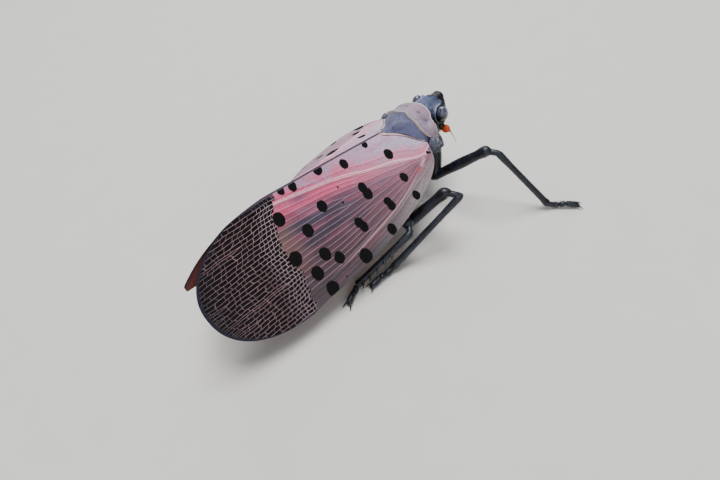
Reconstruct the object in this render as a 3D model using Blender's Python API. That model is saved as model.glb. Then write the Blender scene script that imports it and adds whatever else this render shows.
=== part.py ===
"""Adult spotted lanternfly at rest, life size, wings folded like a roof over the body.

Lengths below are in millimetres. +X is towards the head, +Y is the animal's left and
+Z is up. The trunk is drawn in its own frame and pitched head-up by PITCH; the legs are
drawn in the floor's frame, with the floor at height zero.
"""
import bpy
import bmesh
import math
from mathutils import Matrix, Vector

MM = 0.001
GAP = 0.3                 # clear space between neighbouring pieces
PITCH = math.radians(5)   # the head end stands higher
BODY_LIFT = 5.0           # height of the trunk's own origin above the floor
FLAT_HEIGHT = 0.03        # soles are cut flat up to this height
MERGE = 1e-5              # metres; corners nearer than this are one after a cut
FINE_MERGE = 2e-6         # the same for claws and spurs

# Trunk: stations along x with half width, top and keel of the outer plates
TRUNK_HALF_WIDTH = [(3.6, 2.3), (5.0, 2.4), (6.3, 2.55), (7.6, 2.6), (8.8, 2.5), (9.6, 2.05)]
TRUNK_TOP = [(3.6, 1.95), (5.0, 2.0), (6.3, 2.06), (7.6, 2.06), (8.8, 1.88), (9.6, 1.55)]
TRUNK_AXIS_Z = -0.6
PLATE = 0.5               # thickness of the back plates

# Pronotum: margins as (angle round the trunk from the top, x)
PRONOTUM_FRONT = [(0, 9.6), (28, 9.33), (41, 8.93), (54, 9.0), (68, 8.8), (84, 8.5)]
PRONOTUM_REAR = [(0, 7.72), (15, 7.58), (37, 7.53), (60, 7.66), (73, 8.05), (84, 8.32)]
PRONOTUM_REACH = 84       # degrees down each side
PRONOTUM_KEEL = 0.1       # height of the keel along the middle
MESONOTUM_REACH = [(4.95, 4), (5.6, 13), (6.3, 28), (6.85, 46), (7.5, 64)]
SCUTELLUM_TIP = 4.95

# Thorax under the plates
THORAX_TOP = [(4.3, 0.45), (5.2, 0.85), (6.5, 1.1), (8.0, 1.15), (9.3, 0.75)]
THORAX_UPPER_HALF = [(4.3, 1.5), (5.2, 1.65), (8.0, 1.7), (9.3, 1.3)]
THORAX_LOWER_HALF = [(4.3, 1.85), (5.5, 2.15), (7.2, 2.35), (8.5, 2.4), (9.0, 2.15), (9.3, 1.6)]
THORAX_KEEL = [(4.3, -2.5), (6.5, -2.55), (8.4, -2.35), (9.3, -1.7)]
THORAX_LEDGE = -0.78      # height where the side plates start to stand out

# Abdomen
ABDOMEN_HALF_WIDTH = [(4.0, 1.7), (2.5, 2.15), (0, 2.25), (-3, 1.85), (-5.4, 1.1), (-6.9, 0.3)]
ABDOMEN_HALF_HEIGHT = [(4.0, 1.0), (2.5, 1.35), (0, 1.42), (-3, 1.2), (-5.4, 0.75), (-6.9, 0.25)]
ABDOMEN_AXIS_Z = [(4.0, -1.35), (0, -1.5), (-3, -1.3), (-6.9, -0.75)]
ABDOMEN_SEGMENTS = 8
SEGMENT_STEP = 0.07

# Head: stations along x with half width, top and bottom
HEAD_HALF_WIDTH = [(9.9, 1.0), (10.1, 1.25), (10.6, 1.28), (11.1, 1.2), (11.45, 1.0), (11.7, 0.62),
                   (11.88, 0.42), (12.0, 0.22)]
HEAD_TOP = [(9.9, 1.1), (10.1, 1.3), (10.6, 1.36), (11.1, 1.32), (11.45, 1.3), (11.7, 1.4),
            (11.88, 1.34), (12.0, 1.18)]
HEAD_BOTTOM = [(9.9, -1.3), (10.1, -1.75), (10.6, -2.0), (11.1, -1.6), (11.45, -0.85), (11.7, 0.1),
               (11.88, 0.55), (12.0, 0.85)]
EYE_CENTRE = (10.55, 1.32, 0.36)
EYE_HALF_SIZE = (0.5, 0.47, 0.64)
BULB_CENTRE = (10.72, 1.68, -1.1)
BULB_RADIUS = 0.4
ARISTA_LENGTH = 1.4
ROSTRUM_PATH = [(10.35, -2.55), (9.7, -3.05), (8.2, -3.25), (6.0, -3.3), (3.6, -3.35)]
ROSTRUM_RADIUS = 0.27
TEGULA_CENTRE = (7.72, 2.68, -0.1)
TEGULA_HALF_SIZE = (0.3, 0.22, 0.4)

# Forewing: roof ridge, roof angle, margins as distance down the slope from the ridge
RIDGE_HEIGHT = [(-13.6, 5.2), (-11, 5.04), (-7, 4.65), (-3, 3.85), (1, 2.99), (5, 2.08), (7.4, 1.55)]
ROOF_ANGLE = [(-13.6, 58), (-11, 56.7), (-7, 54.4), (-3, 48.3), (1, 40.3), (5, 32.1), (7.4, 28.5)]
LEFT_TIP_DROP = 20.0      # extra roof angle at the left wing's tip, degrees
LEFT_DROP_X = -3.0        # where the left wing starts to fall away from the right one's slope
LEFT_DRAWN_IN = 0.6       # the left wing's tip lies this much further forward
ROOF_BOW = 0.25           # extra roof angle per millimetre down the slope, degrees
HALF_SEAM = 0.15          # half the clear space between the two forewings
CLAVAL_MARGIN = [(4.65, 0.0), (5.58, 0.5), (6.39, 1.19), (6.9, 1.96), (7.4, 2.75)]
COSTAL_MARGIN = [(-8, 8.95), (-4, 8.42), (0, 7.45), (3, 6.47), (5.4, 5.35), (6.6, 4.38), (7.2, 3.28)]
WING_BASE_X = 7.05
RIDGE_END_X = -6.28       # the tip's outline leaves the ridge here
COSTA_END_X = -8.0        # and the front margin here
WING_TIP_X = -13.61
WING_TIP_DOWN = 4.57
TIP_ROUNDNESS = 2.22
FOREWING_THICK = 0.5
VEIN_COLUMNS = 24
VEIN_RISE = 0.13
VEIN_FORK = 0.5           # part of the wing's length where the veins fork
WING_ROWS = 24

# Hindwing, folded under the forewing
HINDWING_THICK = 0.5
HINDWING_X = (4.0, -10.9)
HINDWING_REACH = 0.8      # part of the forewing's depth that it fills
HINDWING_COLUMNS = 10
HINDWING_ROWS = 16
HINDWING_VEIN_RISE = 0.12

# Legs in the floor's frame: trochanter route, knee, elbow of the tibia, ankle, toe
LEGS = {
    "fore_right": dict(root=[(7.7, -1.95, 2.0), (7.85, -2.8, 2.2)], knee=(9.75, -6.15, 5.4),
                       elbow=(10.15, -7.0, 5.4), ankle=(12.35, -10.65, 0.5), toe=(14.0, -12.45, 0)),
    "mid_right": dict(root=[(4.95, -2.0, 2.3), (3.4, -3.4, 1.55), (2.5, -4.15, 1.45)],
                      knee=(4.9, -6.1, 4.6), elbow=(5.45, -7.1, 4.45), ankle=(-0.5, -5.65, 0.5),
                      toe=(-2.85, -5.5, 0)),
    "hind_right": dict(root=[(3.0, -1.6, 2.2)], knee=(2.0, -4.85, 2.75), elbow=(1.5, -5.6, 2.55),
                       ankle=(-3.5, -4.75, 0.5), toe=(-5.0, -5.3, 0)),
    "fore_left": dict(root=[(7.7, 1.95, 2.1), (8.4, 2.7, 2.1)], knee=(12.9, 4.4, 3.0),
                      elbow=(13.0, 5.3, 2.9), ankle=(9.2, 7.75, 0.5), toe=(7.4, 8.4, 0)),
    "mid_left": dict(root=[(4.95, 2.0, 2.3), (3.4, 3.4, 1.55), (2.5, 4.15, 1.45)],
                     knee=(6.6, 5.3, 2.8), elbow=(7.3, 6.0, 2.6), ankle=(0.6, 7.3, 0.5),
                     toe=(-1.5, 7.7, 0)),
    "hind_left": dict(root=[(3.0, 1.6, 2.2)], knee=(2.0, 4.85, 2.75), elbow=(1.5, 5.6, 2.55),
                      ankle=(-4.9, 6.0, 0.5), toe=(-6.9, 6.2, 0)),
}
FEMUR_RADIUS = 0.45
FEMUR_PROFILE = [(0, 0.93), (0.3, 0.88), (0.55, 1.0), (0.85, 0.8), (0.97, 0.6), (1, 0.4)]
KNEE_BEND = 0.42          # radius on which the femur's corners turn
STRAIGHT = math.radians(80)   # half of a corner's angle that counts as no corner
ARC_STEP = math.radians(28)
TIBIA_RADIUS = 0.26
TIBIA_PROFILE = [(0, 0.35), (0.03, 0.95), (0.08, 1.1), (0.3, 0.95), (0.9, 1.0), (0.96, 1.15), (1, 1.15)]
SPUR_PLACES = (0.36, 0.5, 0.64, 0.78, 0.9)
SPUR_LENGTH = 0.85
SPUR_RADIUS = 0.25
TARSUS_RADIUS = 0.26
TARSUS_PROFILE = [(0, 0.95), (0.25, 1.0), (0.8, 0.95), (1, 0.6)]
CLAW_LENGTH = 0.75
CLAW_RADIUS = 0.2
COXA_RADIUS = 0.46
FORE_COXA = ((8.75, 2.05, -1.0), (7.95, 2.2, -2.75))   # the long hips of the fore legs, trunk frame
FORE_COXA_RADIUS = 0.55


def curve(stations, x):
    """Smooth curve through a few stations, without overshoot."""
    pts = sorted(stations)
    if x <= pts[0][0]:
        return pts[0][1]
    if x >= pts[-1][0]:
        return pts[-1][1]
    slopes = [(b[1] - a[1]) / (b[0] - a[0]) for a, b in zip(pts, pts[1:])]
    tangents = [slopes[0]]
    for before, after in zip(slopes, slopes[1:]):
        same = before * after > 0
        tangents.append(2 * before * after / (before + after) if same else 0.0)
    tangents.append(slopes[-1])
    for i, (a, b) in enumerate(zip(pts, pts[1:])):
        if x <= b[0]:
            h = b[0] - a[0]
            u = (x - a[0]) / h
            return ((1 + 2 * u) * (1 - u) ** 2 * a[1] + u * (1 - u) ** 2 * h * tangents[i]
                    + u * u * (3 - 2 * u) * b[1] + u * u * (u - 1) * h * tangents[i + 1])


def material(name, colour, roughness, metallic=0.0):
    mat = bpy.data.materials.new(name)
    mat.use_nodes = True
    bsdf = mat.node_tree.nodes["Principled BSDF"]
    bsdf.inputs["Base Color"].default_value = (*colour, 1)
    bsdf.inputs["Roughness"].default_value = roughness
    bsdf.inputs["Metallic"].default_value = metallic
    mat.diffuse_color = (*colour, 1)
    return mat


def add_piece(name, verts, faces, mat, parent, origin, smooth_angle=50):
    """One closed mesh object, its vertices given in the parent's frame in millimetres."""
    origin = Vector(origin)
    mesh = bpy.data.meshes.new(name)
    mesh.from_pydata([(Vector(v) - origin) * MM for v in verts], [], faces)
    work = bmesh.new()
    work.from_mesh(mesh)
    bmesh.ops.recalc_face_normals(work, faces=work.faces)
    work.to_mesh(mesh)
    work.free()
    mesh.shade_smooth()
    mesh.set_sharp_from_angle(angle=math.radians(smooth_angle))
    mesh.materials.append(mat)
    obj = bpy.data.objects.new(name, mesh)
    obj.location = origin * MM
    obj.parent = parent
    bpy.context.scene.collection.objects.link(obj)
    return obj


def loft(rings):
    """Vertices and faces of a closed body through rings of equal count."""
    count = len(rings[0])
    verts = [v for ring in rings for v in ring]
    faces = []
    for i in range(len(rings) - 1):
        for j in range(count):
            k = (j + 1) % count
            a, b = i * count + j, i * count + k
            faces.append((a, b, b + count))
            faces.append((a, b + count, a + count))
    for base, ring in ((0, rings[0]), ((len(rings) - 1) * count, rings[-1])):
        verts.append(sum((Vector(v) for v in ring), Vector()) / count)
        centre = len(verts) - 1
        for j in range(count):
            faces.append((base + j, base + (j + 1) % count, centre))
    return verts, faces


def sheet(outer, inner):
    """Closed body between two grids of points, both split into triangles the same way."""
    rows, cols = len(outer), len(outer[0])
    verts = [v for row in outer for v in row] + [v for row in inner for v in row]
    lower = rows * cols
    faces = []
    for i in range(rows - 1):
        for j in range(cols - 1):
            a = i * cols + j
            for tri in ((a, a + 1, a + cols + 1), (a, a + cols + 1, a + cols)):
                faces.append(tri)
                faces.append(tuple(lower + k for k in reversed(tri)))
    rim = [j for j in range(cols)]
    rim += [i * cols + cols - 1 for i in range(1, rows)]
    rim += [(rows - 1) * cols + j for j in range(cols - 2, -1, -1)]
    rim += [i * cols for i in range(rows - 2, 0, -1)]
    for a, b in zip(rim, rim[1:] + rim[:1]):
        faces.append((b, a, lower + a))
        faces.append((b, lower + a, lower + b))
    return verts, faces


def smooth_route(points, steps):
    """Points along a Catmull-Rom curve through the given points."""
    pts = [Vector(p) for p in points]
    pts = [2 * pts[0] - pts[1]] + pts + [2 * pts[-1] - pts[-2]]
    route = []
    for p0, p1, p2, p3 in zip(pts, pts[1:], pts[2:], pts[3:]):
        for s in range(steps):
            u = s / steps
            route.append(0.5 * (2 * p1 + (p2 - p0) * u + (2 * p0 - 5 * p1 + 4 * p2 - p3) * u * u
                                + (3 * p1 - p0 - 3 * p2 + p3) * u ** 3))
    route.append(pts[-2])
    return route


def rounded_route(points, bend):
    """Straight runs through the points, with each corner turned on an arc."""
    pts = [Vector(p) for p in points]
    route = [pts[0]]
    for a, corner, b in zip(pts, pts[1:], pts[2:]):
        back, ahead = (a - corner).normalized(), (b - corner).normalized()
        half = back.angle(ahead) / 2
        if half > STRAIGHT:
            route.append(corner)
            continue
        reach = min(bend / math.tan(half), 0.45 * (a - corner).length, 0.8 * (b - corner).length)
        arc = reach * math.tan(half)
        centre = corner + (back + ahead).normalized() * (arc / math.sin(half))
        first, last = corner + back * reach - centre, corner + ahead * reach - centre
        turn = first.angle(last)
        steps = max(1, round(turn / ARC_STEP))
        for k in range(steps + 1):
            u = k / steps
            route.append(centre + (first * math.sin((1 - u) * turn) + last * math.sin(u * turn)) / math.sin(turn))
    route.append(pts[-1])
    return route


def tube(route, radius, sides=10, flatness=1.0):
    """Closed tube along a route; radius is a function of the part of the length passed."""
    lengths = [0.0]
    for a, b in zip(route, route[1:]):
        lengths.append(lengths[-1] + (b - a).length)
    side = None
    rings = []
    for i, p in enumerate(route):
        ahead = route[min(i + 1, len(route) - 1)] - route[max(i - 1, 0)]
        ahead.normalize()
        if side is None:
            side = ahead.cross(Vector((0, 0, 1))).normalized()
        side = (side - ahead * side.dot(ahead)).normalized()
        up = side.cross(ahead)
        r = radius(lengths[i] / lengths[-1])
        rings.append([p + (side * math.cos(a) * flatness + up * math.sin(a)) * r
                      for a in (2 * math.pi * k / sides for k in range(sides))])
    return loft(rings)


def ellipsoid(centre, half, sides=14, rings=9):
    centre = Vector(centre)
    rows = []
    for i in range(1, rings):
        a = math.pi * i / rings
        rows.append([centre + Vector((half[0] * math.sin(a) * math.cos(b), half[1] * math.sin(a) * math.sin(b),
                                      half[2] * math.cos(a)))
                     for b in (2 * math.pi * k / sides for k in range(sides))])
    verts, faces = loft(rows)
    verts[-2] = centre + Vector((0, 0, half[2]))
    verts[-1] = centre - Vector((0, 0, half[2]))
    return verts, faces


def trunk_point(x, degrees, inset=0.0):
    """Point on the trunk's plates; degrees are counted from the top, left side positive."""
    a = curve(TRUNK_HALF_WIDTH, x) - inset
    b = curve(TRUNK_TOP, x) - TRUNK_AXIS_Z - inset
    t = math.radians(degrees)
    return (x, a * math.sin(t), TRUNK_AXIS_Z + b * math.cos(t))


def roof_angle(side, x):
    angle = curve(ROOF_ANGLE, x)
    if side > 0:
        angle += LEFT_TIP_DROP * min(1.0, max(0.0, (LEFT_DROP_X - x) / (LEFT_DROP_X - WING_TIP_X)))
    return angle


def roof_point(side, x, down, depth):
    """Point of a wing: down the roof's slope from the ridge, depth under its outer face."""
    start = math.radians(roof_angle(side, x))
    bow = math.radians(ROOF_BOW)
    here = start + bow * down
    y = HALF_SEAM + (math.sin(here) - math.sin(start)) / bow
    z = curve(RIDGE_HEIGHT, x) + (math.cos(here) - math.cos(start)) / bow
    y -= depth * math.sin(here)
    z -= depth * math.cos(here)
    return (x, side * y, z)


def seam_start(side, x, depth):
    """How far down the slope a face at this depth starts, to stay on its side of the seam."""
    return depth * math.tan(math.radians(roof_angle(side, x)))


def claval_edge(x):
    return curve(CLAVAL_MARGIN, x) + GAP * min(1.0, max(0.0, (x - 4.65) / 0.5)) if x > 4.65 else 0.0


def costal_edge(x):
    return curve(COSTAL_MARGIN, max(x, COSTA_END_X))


def wing_end_x(across):
    """Where a line at this part of the wing's depth meets the rounded tip."""
    deep = costal_edge(COSTA_END_X)
    down = across * deep
    power = TIP_ROUNDNESS / 2
    if down < WING_TIP_DOWN:
        c = (1 - down / WING_TIP_DOWN) ** power
        s = math.sqrt(max(0.0, 1 - c * c))
        return RIDGE_END_X - (RIDGE_END_X - WING_TIP_X) * s ** (1 / power)
    s = min(1.0, (down - WING_TIP_DOWN) / (deep - WING_TIP_DOWN)) ** power
    c = math.sqrt(max(0.0, 1 - s * s))
    return COSTA_END_X - (COSTA_END_X - WING_TIP_X) * c ** (1 / power)


def vein_height(column, along):
    """Ridge height on a grid column: every fourth column forks into its two neighbours."""
    rise = min(1.0, along / 0.08) * min(1.0, (1 - along) / 0.05)
    forked = min(1.0, max(0.0, (along - VEIN_FORK) / 0.08))
    phase = column % 4
    before = (0.0, 0.45, 1.0, 0.45)[phase]
    after = (0.0, 1.0, 0.15, 1.0)[phase]
    return VEIN_RISE * rise * (before + (after - before) * forked)


def make_forewing(name, side, mat, parent):
    outer, inner = [], []
    for i in range(WING_ROWS + 1):
        along = i / WING_ROWS
        outer_row, inner_row = [], []
        for j in range(VEIN_COLUMNS + 1):
            across = j / VEIN_COLUMNS
            end = wing_end_x(across) + (LEFT_DRAWN_IN if side > 0 else 0.0)
            x = WING_BASE_X + along ** 0.9 * (end - WING_BASE_X)
            top = claval_edge(x)
            down = top + across * (costal_edge(x) - top)
            height = vein_height(j, along) if 0 < j < VEIN_COLUMNS else 0.0
            outer_row.append(roof_point(side, x, down, -height))
            inside = max(top, seam_start(side, x, FOREWING_THICK))
            down = inside + across * (costal_edge(x) - inside)
            inner_row.append(roof_point(side, x, down, FOREWING_THICK))
        outer.append(outer_row)
        inner.append(inner_row)
    verts, faces = sheet(outer, inner)
    return add_piece(name, verts, faces, mat, parent, roof_point(side, WING_BASE_X, 2.8, 0))


def make_hindwing(name, side, mat, parent):
    outer, inner = [], []
    first = FOREWING_THICK + GAP
    last = first + HINDWING_THICK
    for i in range(HINDWING_ROWS + 1):
        along = i / HINDWING_ROWS
        outer_row, inner_row = [], []
        for j in range(HINDWING_COLUMNS + 1):
            across = j / HINDWING_COLUMNS
            bulge = 1 - 0.55 * abs(2 * across - 0.9) ** 2.5
            x = HINDWING_X[0] + along * bulge * (HINDWING_X[1] - HINDWING_X[0])
            top = seam_start(side, x, last + HINDWING_VEIN_RISE) + 0.1
            down = top + across * HINDWING_REACH * (costal_edge(x) - top)
            height = HINDWING_VEIN_RISE * (j % 2) * min(1.0, 4 * along, 4 * (1 - along))
            if j == 0 or j == HINDWING_COLUMNS:
                height = 0.0
            outer_row.append(roof_point(side, x, down, first + HINDWING_VEIN_RISE - height))
            inner_row.append(roof_point(side, x, down, last + HINDWING_VEIN_RISE))
        outer.append(outer_row)
        inner.append(inner_row)
    verts, faces = sheet(outer, inner)
    return add_piece(name, verts, faces, mat, parent, roof_point(side, HINDWING_X[0], 3.0, last))


def make_plate(name, front, rear, reach, columns, rows, keel, mat, parent):
    """Saddle-shaped back plate; front and rear give x from the angle, reach gives the side."""
    outer, inner = [], []
    for i in range(rows + 1):
        u = i / rows
        outer_row, inner_row = [], []
        for j in range(columns + 1):
            w = 2 * j / columns - 1
            x, degrees = reach(u, w, front, rear)
            lift = keel * math.exp(-(degrees / 6) ** 2)
            outer_row.append(trunk_point(x, degrees, -lift))
            inner_row.append(trunk_point(x, degrees, PLATE))
        outer.append(outer_row)
        inner.append(inner_row)
    verts, faces = sheet(outer, inner)
    return add_piece(name, verts, faces, mat, parent, trunk_point(rear(0), 0))


def pronotum_grid(u, w, front, rear):
    degrees = w * PRONOTUM_REACH
    a, b = rear(abs(degrees)), front(abs(degrees))
    return a + (b - a) * u, degrees


def mesonotum_grid(u, w, front, rear):
    x_start = front(abs(w) * MESONOTUM_REACH[-1][1])
    x = SCUTELLUM_TIP + (x_start - SCUTELLUM_TIP) * u
    return x, w * curve(MESONOTUM_REACH, x)


def thorax_ring(x, half=14):
    top = curve(THORAX_TOP, x)
    upper, lower = curve(THORAX_UPPER_HALF, x), curve(THORAX_LOWER_HALF, x)
    keel = curve(THORAX_KEEL, x)
    profile = []
    for k in range(half // 2 + 1):
        a = math.pi / 2 * k / (half // 2)
        profile.append((upper * math.sin(a) ** 1.15, THORAX_LEDGE + (top - THORAX_LEDGE) * math.cos(a) ** 1.15))
    for k in range(half // 2 + 1):
        a = math.pi / 2 * k / (half // 2)
        profile.append((lower * math.cos(a), THORAX_LEDGE - 0.04 + (keel - THORAX_LEDGE) * math.sin(a)))
    right = [(x, -y, z) for y, z in profile[1:-1]]
    left = [(x, y, z) for y, z in profile[1:-1]]
    return [(x, 0, profile[0][1])] + left + [(x, 0, profile[-1][1])] + right[::-1]


def oval_ring(x, half_width, top, bottom, sides=20, power=1.0):
    z = (top + bottom) / 2
    ring = []
    for k in range(sides):
        a = 2 * math.pi * (k + 0.5) / sides
        s, c = math.sin(a), math.cos(a)
        ring.append((x, half_width * math.copysign(abs(s) ** power, s),
                     z + (top - bottom) / 2 * math.copysign(abs(c) ** power, c)))
    return ring


def combine(target, others, operation, merge=MERGE):
    """Join closed pieces to a target, or cut them from it, and keep the largest body."""
    group = bpy.data.collections.new(target.name + "_group")
    bpy.context.scene.collection.children.link(group)
    for other in others:
        for owner in list(other.users_collection):
            owner.objects.unlink(other)
        group.objects.link(other)
    boolean = target.modifiers.new("combine", "BOOLEAN")
    boolean.operation = operation
    boolean.operand_type = "COLLECTION"
    boolean.collection = group
    boolean.solver = "EXACT"
    bpy.context.view_layer.update()
    result = bpy.data.meshes.new_from_object(target.evaluated_get(bpy.context.evaluated_depsgraph_get()))
    target.modifiers.remove(boolean)
    for other in others:
        bpy.data.objects.remove(other, do_unlink=True)
    bpy.data.collections.remove(group)
    work = bmesh.new()
    work.from_mesh(result)
    bmesh.ops.remove_doubles(work, verts=work.verts, dist=merge)
    bmesh.ops.dissolve_degenerate(work, edges=work.edges, dist=merge)
    bmesh.ops.triangulate(work, faces=work.faces)
    shells = shells_of(work)
    keep = max(shells, key=lambda shell: abs(shell_volume(shell)))
    for shell in shells:
        if shell is not keep:
            bmesh.ops.delete(work, geom=shell, context="FACES")
    work.to_mesh(result)
    work.free()
    result.shade_smooth()
    result.set_sharp_from_angle(angle=math.radians(50))
    target.data = result
    return target


def shells_of(work):
    left = set(work.faces)
    shells = []
    while left:
        stack = [left.pop()]
        shell = []
        while stack:
            face = stack.pop()
            shell.append(face)
            for edge in face.edges:
                for near in edge.link_faces:
                    if near in left:
                        left.remove(near)
                        stack.append(near)
        shells.append(shell)
    return shells


def shell_volume(faces):
    total = 0.0
    for face in faces:
        a = face.verts[0].co
        for b, c in zip(face.verts[1:], face.verts[2:]):
            total += a.dot(b.co.cross(c.co)) / 6
    return total


def spur_radius(part):
    return SPUR_RADIUS * (1 - 0.85 * part)


def claw_radius(part):
    return CLAW_RADIUS * (1 - 0.75 * part)


def to_trunk(point):
    """A point of the floor's frame, given in the trunk's frame."""
    x, y, z = point
    z -= BODY_LIFT
    c, s = math.cos(PITCH), math.sin(PITCH)
    return Vector((x * c + z * s, y, -x * s + z * c))


for old in list(bpy.data.objects):
    bpy.data.objects.remove(old, do_unlink=True)

stance = bpy.data.objects.new("stance", None)
trunk = bpy.data.objects.new("trunk_frame", None)
for empty in (stance, trunk):
    bpy.context.scene.collection.objects.link(empty)
trunk.parent = stance
trunk.location = (0, 0, BODY_LIFT * MM)
trunk.rotation_euler = (0, -PITCH, 0)

slate = material("slate_cuticle", (0.13, 0.15, 0.19), 0.5)
pinkish = material("pronotum_cuticle", (0.52, 0.43, 0.45), 0.55)
black = material("leg_cuticle", (0.02, 0.022, 0.028), 0.35)
eye_dark = material("eye_lens", (0.03, 0.03, 0.035), 0.2)
orange = material("antenna_bulb", (0.85, 0.16, 0.02), 0.45)
wing_pink = material("forewing_membrane", (0.55, 0.38, 0.4), 0.5)
wing_red = material("hindwing_membrane", (0.6, 0.03, 0.03), 0.5)
yellow = material("abdomen_cuticle", (0.75, 0.5, 0.06), 0.45)

head = add_piece("head", *loft([oval_ring(x, w, curve(HEAD_TOP, x), curve(HEAD_BOTTOM, x), 20, 0.85)
                                for x, w in HEAD_HALF_WIDTH]), slate, trunk, (9.9, 0, 0))
sockets = []
for side in (1, -1):
    centre = (EYE_CENTRE[0], side * EYE_CENTRE[1], EYE_CENTRE[2])
    swollen = [h + GAP for h in EYE_HALF_SIZE]
    sockets.append(add_piece("socket", *ellipsoid(centre, swollen), slate, trunk, centre))
combine(head, sockets, "DIFFERENCE")
for side, label in ((1, "left"), (-1, "right")):
    centre = (EYE_CENTRE[0], side * EYE_CENTRE[1], EYE_CENTRE[2])
    add_piece("eye_" + label, *ellipsoid(centre, EYE_HALF_SIZE), eye_dark, trunk, centre)
    bulb = Vector((BULB_CENTRE[0], side * BULB_CENTRE[1], BULB_CENTRE[2]))
    out = Vector((0.3, side * 0.85, -0.42)).normalized()
    tip = bulb + out * BULB_RADIUS + Vector((0.1, side * 0.45, -0.9)).normalized() * ARISTA_LENGTH
    route = [bulb + out * BULB_RADIUS * s for s in (-1.3, -1.0, -0.9, -0.6, -0.2, 0.2, 0.6, 0.9)]
    route += [bulb + out * (BULB_RADIUS + 0.12), bulb + out * (BULB_RADIUS + 0.3)]
    route += [route[-1].lerp(tip, s) for s in (0.4, 0.75, 1.0)]
    sizes = [0.27, 0.27, 0.27, 0.36, 0.4, 0.39, 0.33, 0.26, 0.24, 0.2, 0.14, 0.09, 0.05]
    total = sum((b - a).length for a, b in zip(route, route[1:]))
    passed = [sum((b - a).length for a, b in zip(route[:k], route[1:k + 1])) / total for k in range(len(route))]
    profile = list(zip(passed, sizes))
    add_piece("antenna_" + label, *tube(route, lambda s: curve(profile, s), 10), orange, trunk, route[0])

route = smooth_route([(x, 0, z) for x, z in ROSTRUM_PATH], 4)
add_piece("rostrum", *tube(route, lambda s: ROSTRUM_RADIUS * (1 - 0.55 * max(0, s - 0.85) / 0.15), 10),
          black, trunk, route[0])

make_plate("pronotum", lambda a: curve(PRONOTUM_FRONT, a), lambda a: curve(PRONOTUM_REAR, a),
           pronotum_grid, 28, 5, PRONOTUM_KEEL, pinkish, trunk)
make_plate("mesonotum", lambda a: curve(PRONOTUM_REAR, a) - GAP, lambda a: SCUTELLUM_TIP,
           mesonotum_grid, 16, 9, 0.06, slate, trunk)

thorax = add_piece("thorax", *loft([thorax_ring(x) for x in
                                    (4.3, 4.8, 5.4, 6.1, 6.8, 7.5, 8.1, 8.6, 9.0, 9.3)]), slate, trunk, (4.3, 0, 0))
coxae = []
for leg in LEGS.values():
    start = Vector(leg["root"][0])
    heading = (Vector((leg["root"] + [leg["knee"]])[1]) - start).normalized()
    end = to_trunk(start)
    inward = to_trunk(start - heading * 1.0)
    inward.y *= 0.6
    inward.z += 0.5
    coxae.append(add_piece("coxa", *tube([inward, end], lambda s: COXA_RADIUS, 10), slate, trunk, end))
for side in (1, -1):
    top, foot = [Vector((x, side * y, z)) for x, y, z in FORE_COXA]
    coxae.append(add_piece("coxa", *tube([top, top.lerp(foot, 0.5), foot],
                                         lambda s: FORE_COXA_RADIUS * (1 - 0.2 * s), 10), slate, trunk, top))
combine(thorax, coxae, "UNION")

for side, label in ((1, "left"), (-1, "right")):
    centre = (TEGULA_CENTRE[0], side * TEGULA_CENTRE[1], TEGULA_CENTRE[2])
    add_piece("tegula_" + label, *ellipsoid(centre, TEGULA_HALF_SIZE, 10, 7), slate, trunk, centre)

rings = []
segment = (ABDOMEN_HALF_WIDTH[0][0] - ABDOMEN_HALF_WIDTH[-1][0]) / ABDOMEN_SEGMENTS
for k in range(ABDOMEN_SEGMENTS):
    for part, step in ((0.0, 0.0), (0.45, -SEGMENT_STEP * 0.3), (0.9, -SEGMENT_STEP)):
        x = ABDOMEN_HALF_WIDTH[0][0] - (k + part) * segment
        z, h = curve(ABDOMEN_AXIS_Z, x), curve(ABDOMEN_HALF_HEIGHT, x) - step
        rings.append(oval_ring(x, curve(ABDOMEN_HALF_WIDTH, x) - step, z + h, z - h, 18))
rings.append(oval_ring(ABDOMEN_HALF_WIDTH[-1][0], 0.3, -0.5, -1.0, 18))
add_piece("abdomen", *loft(rings), yellow, trunk, (4.0, 0, ABDOMEN_AXIS_Z[0][1]))

for side, label in ((1, "left"), (-1, "right")):
    make_forewing("forewing_" + label, side, wing_pink, trunk)
    make_hindwing("hindwing_" + label, side, wing_red, trunk)

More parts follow.
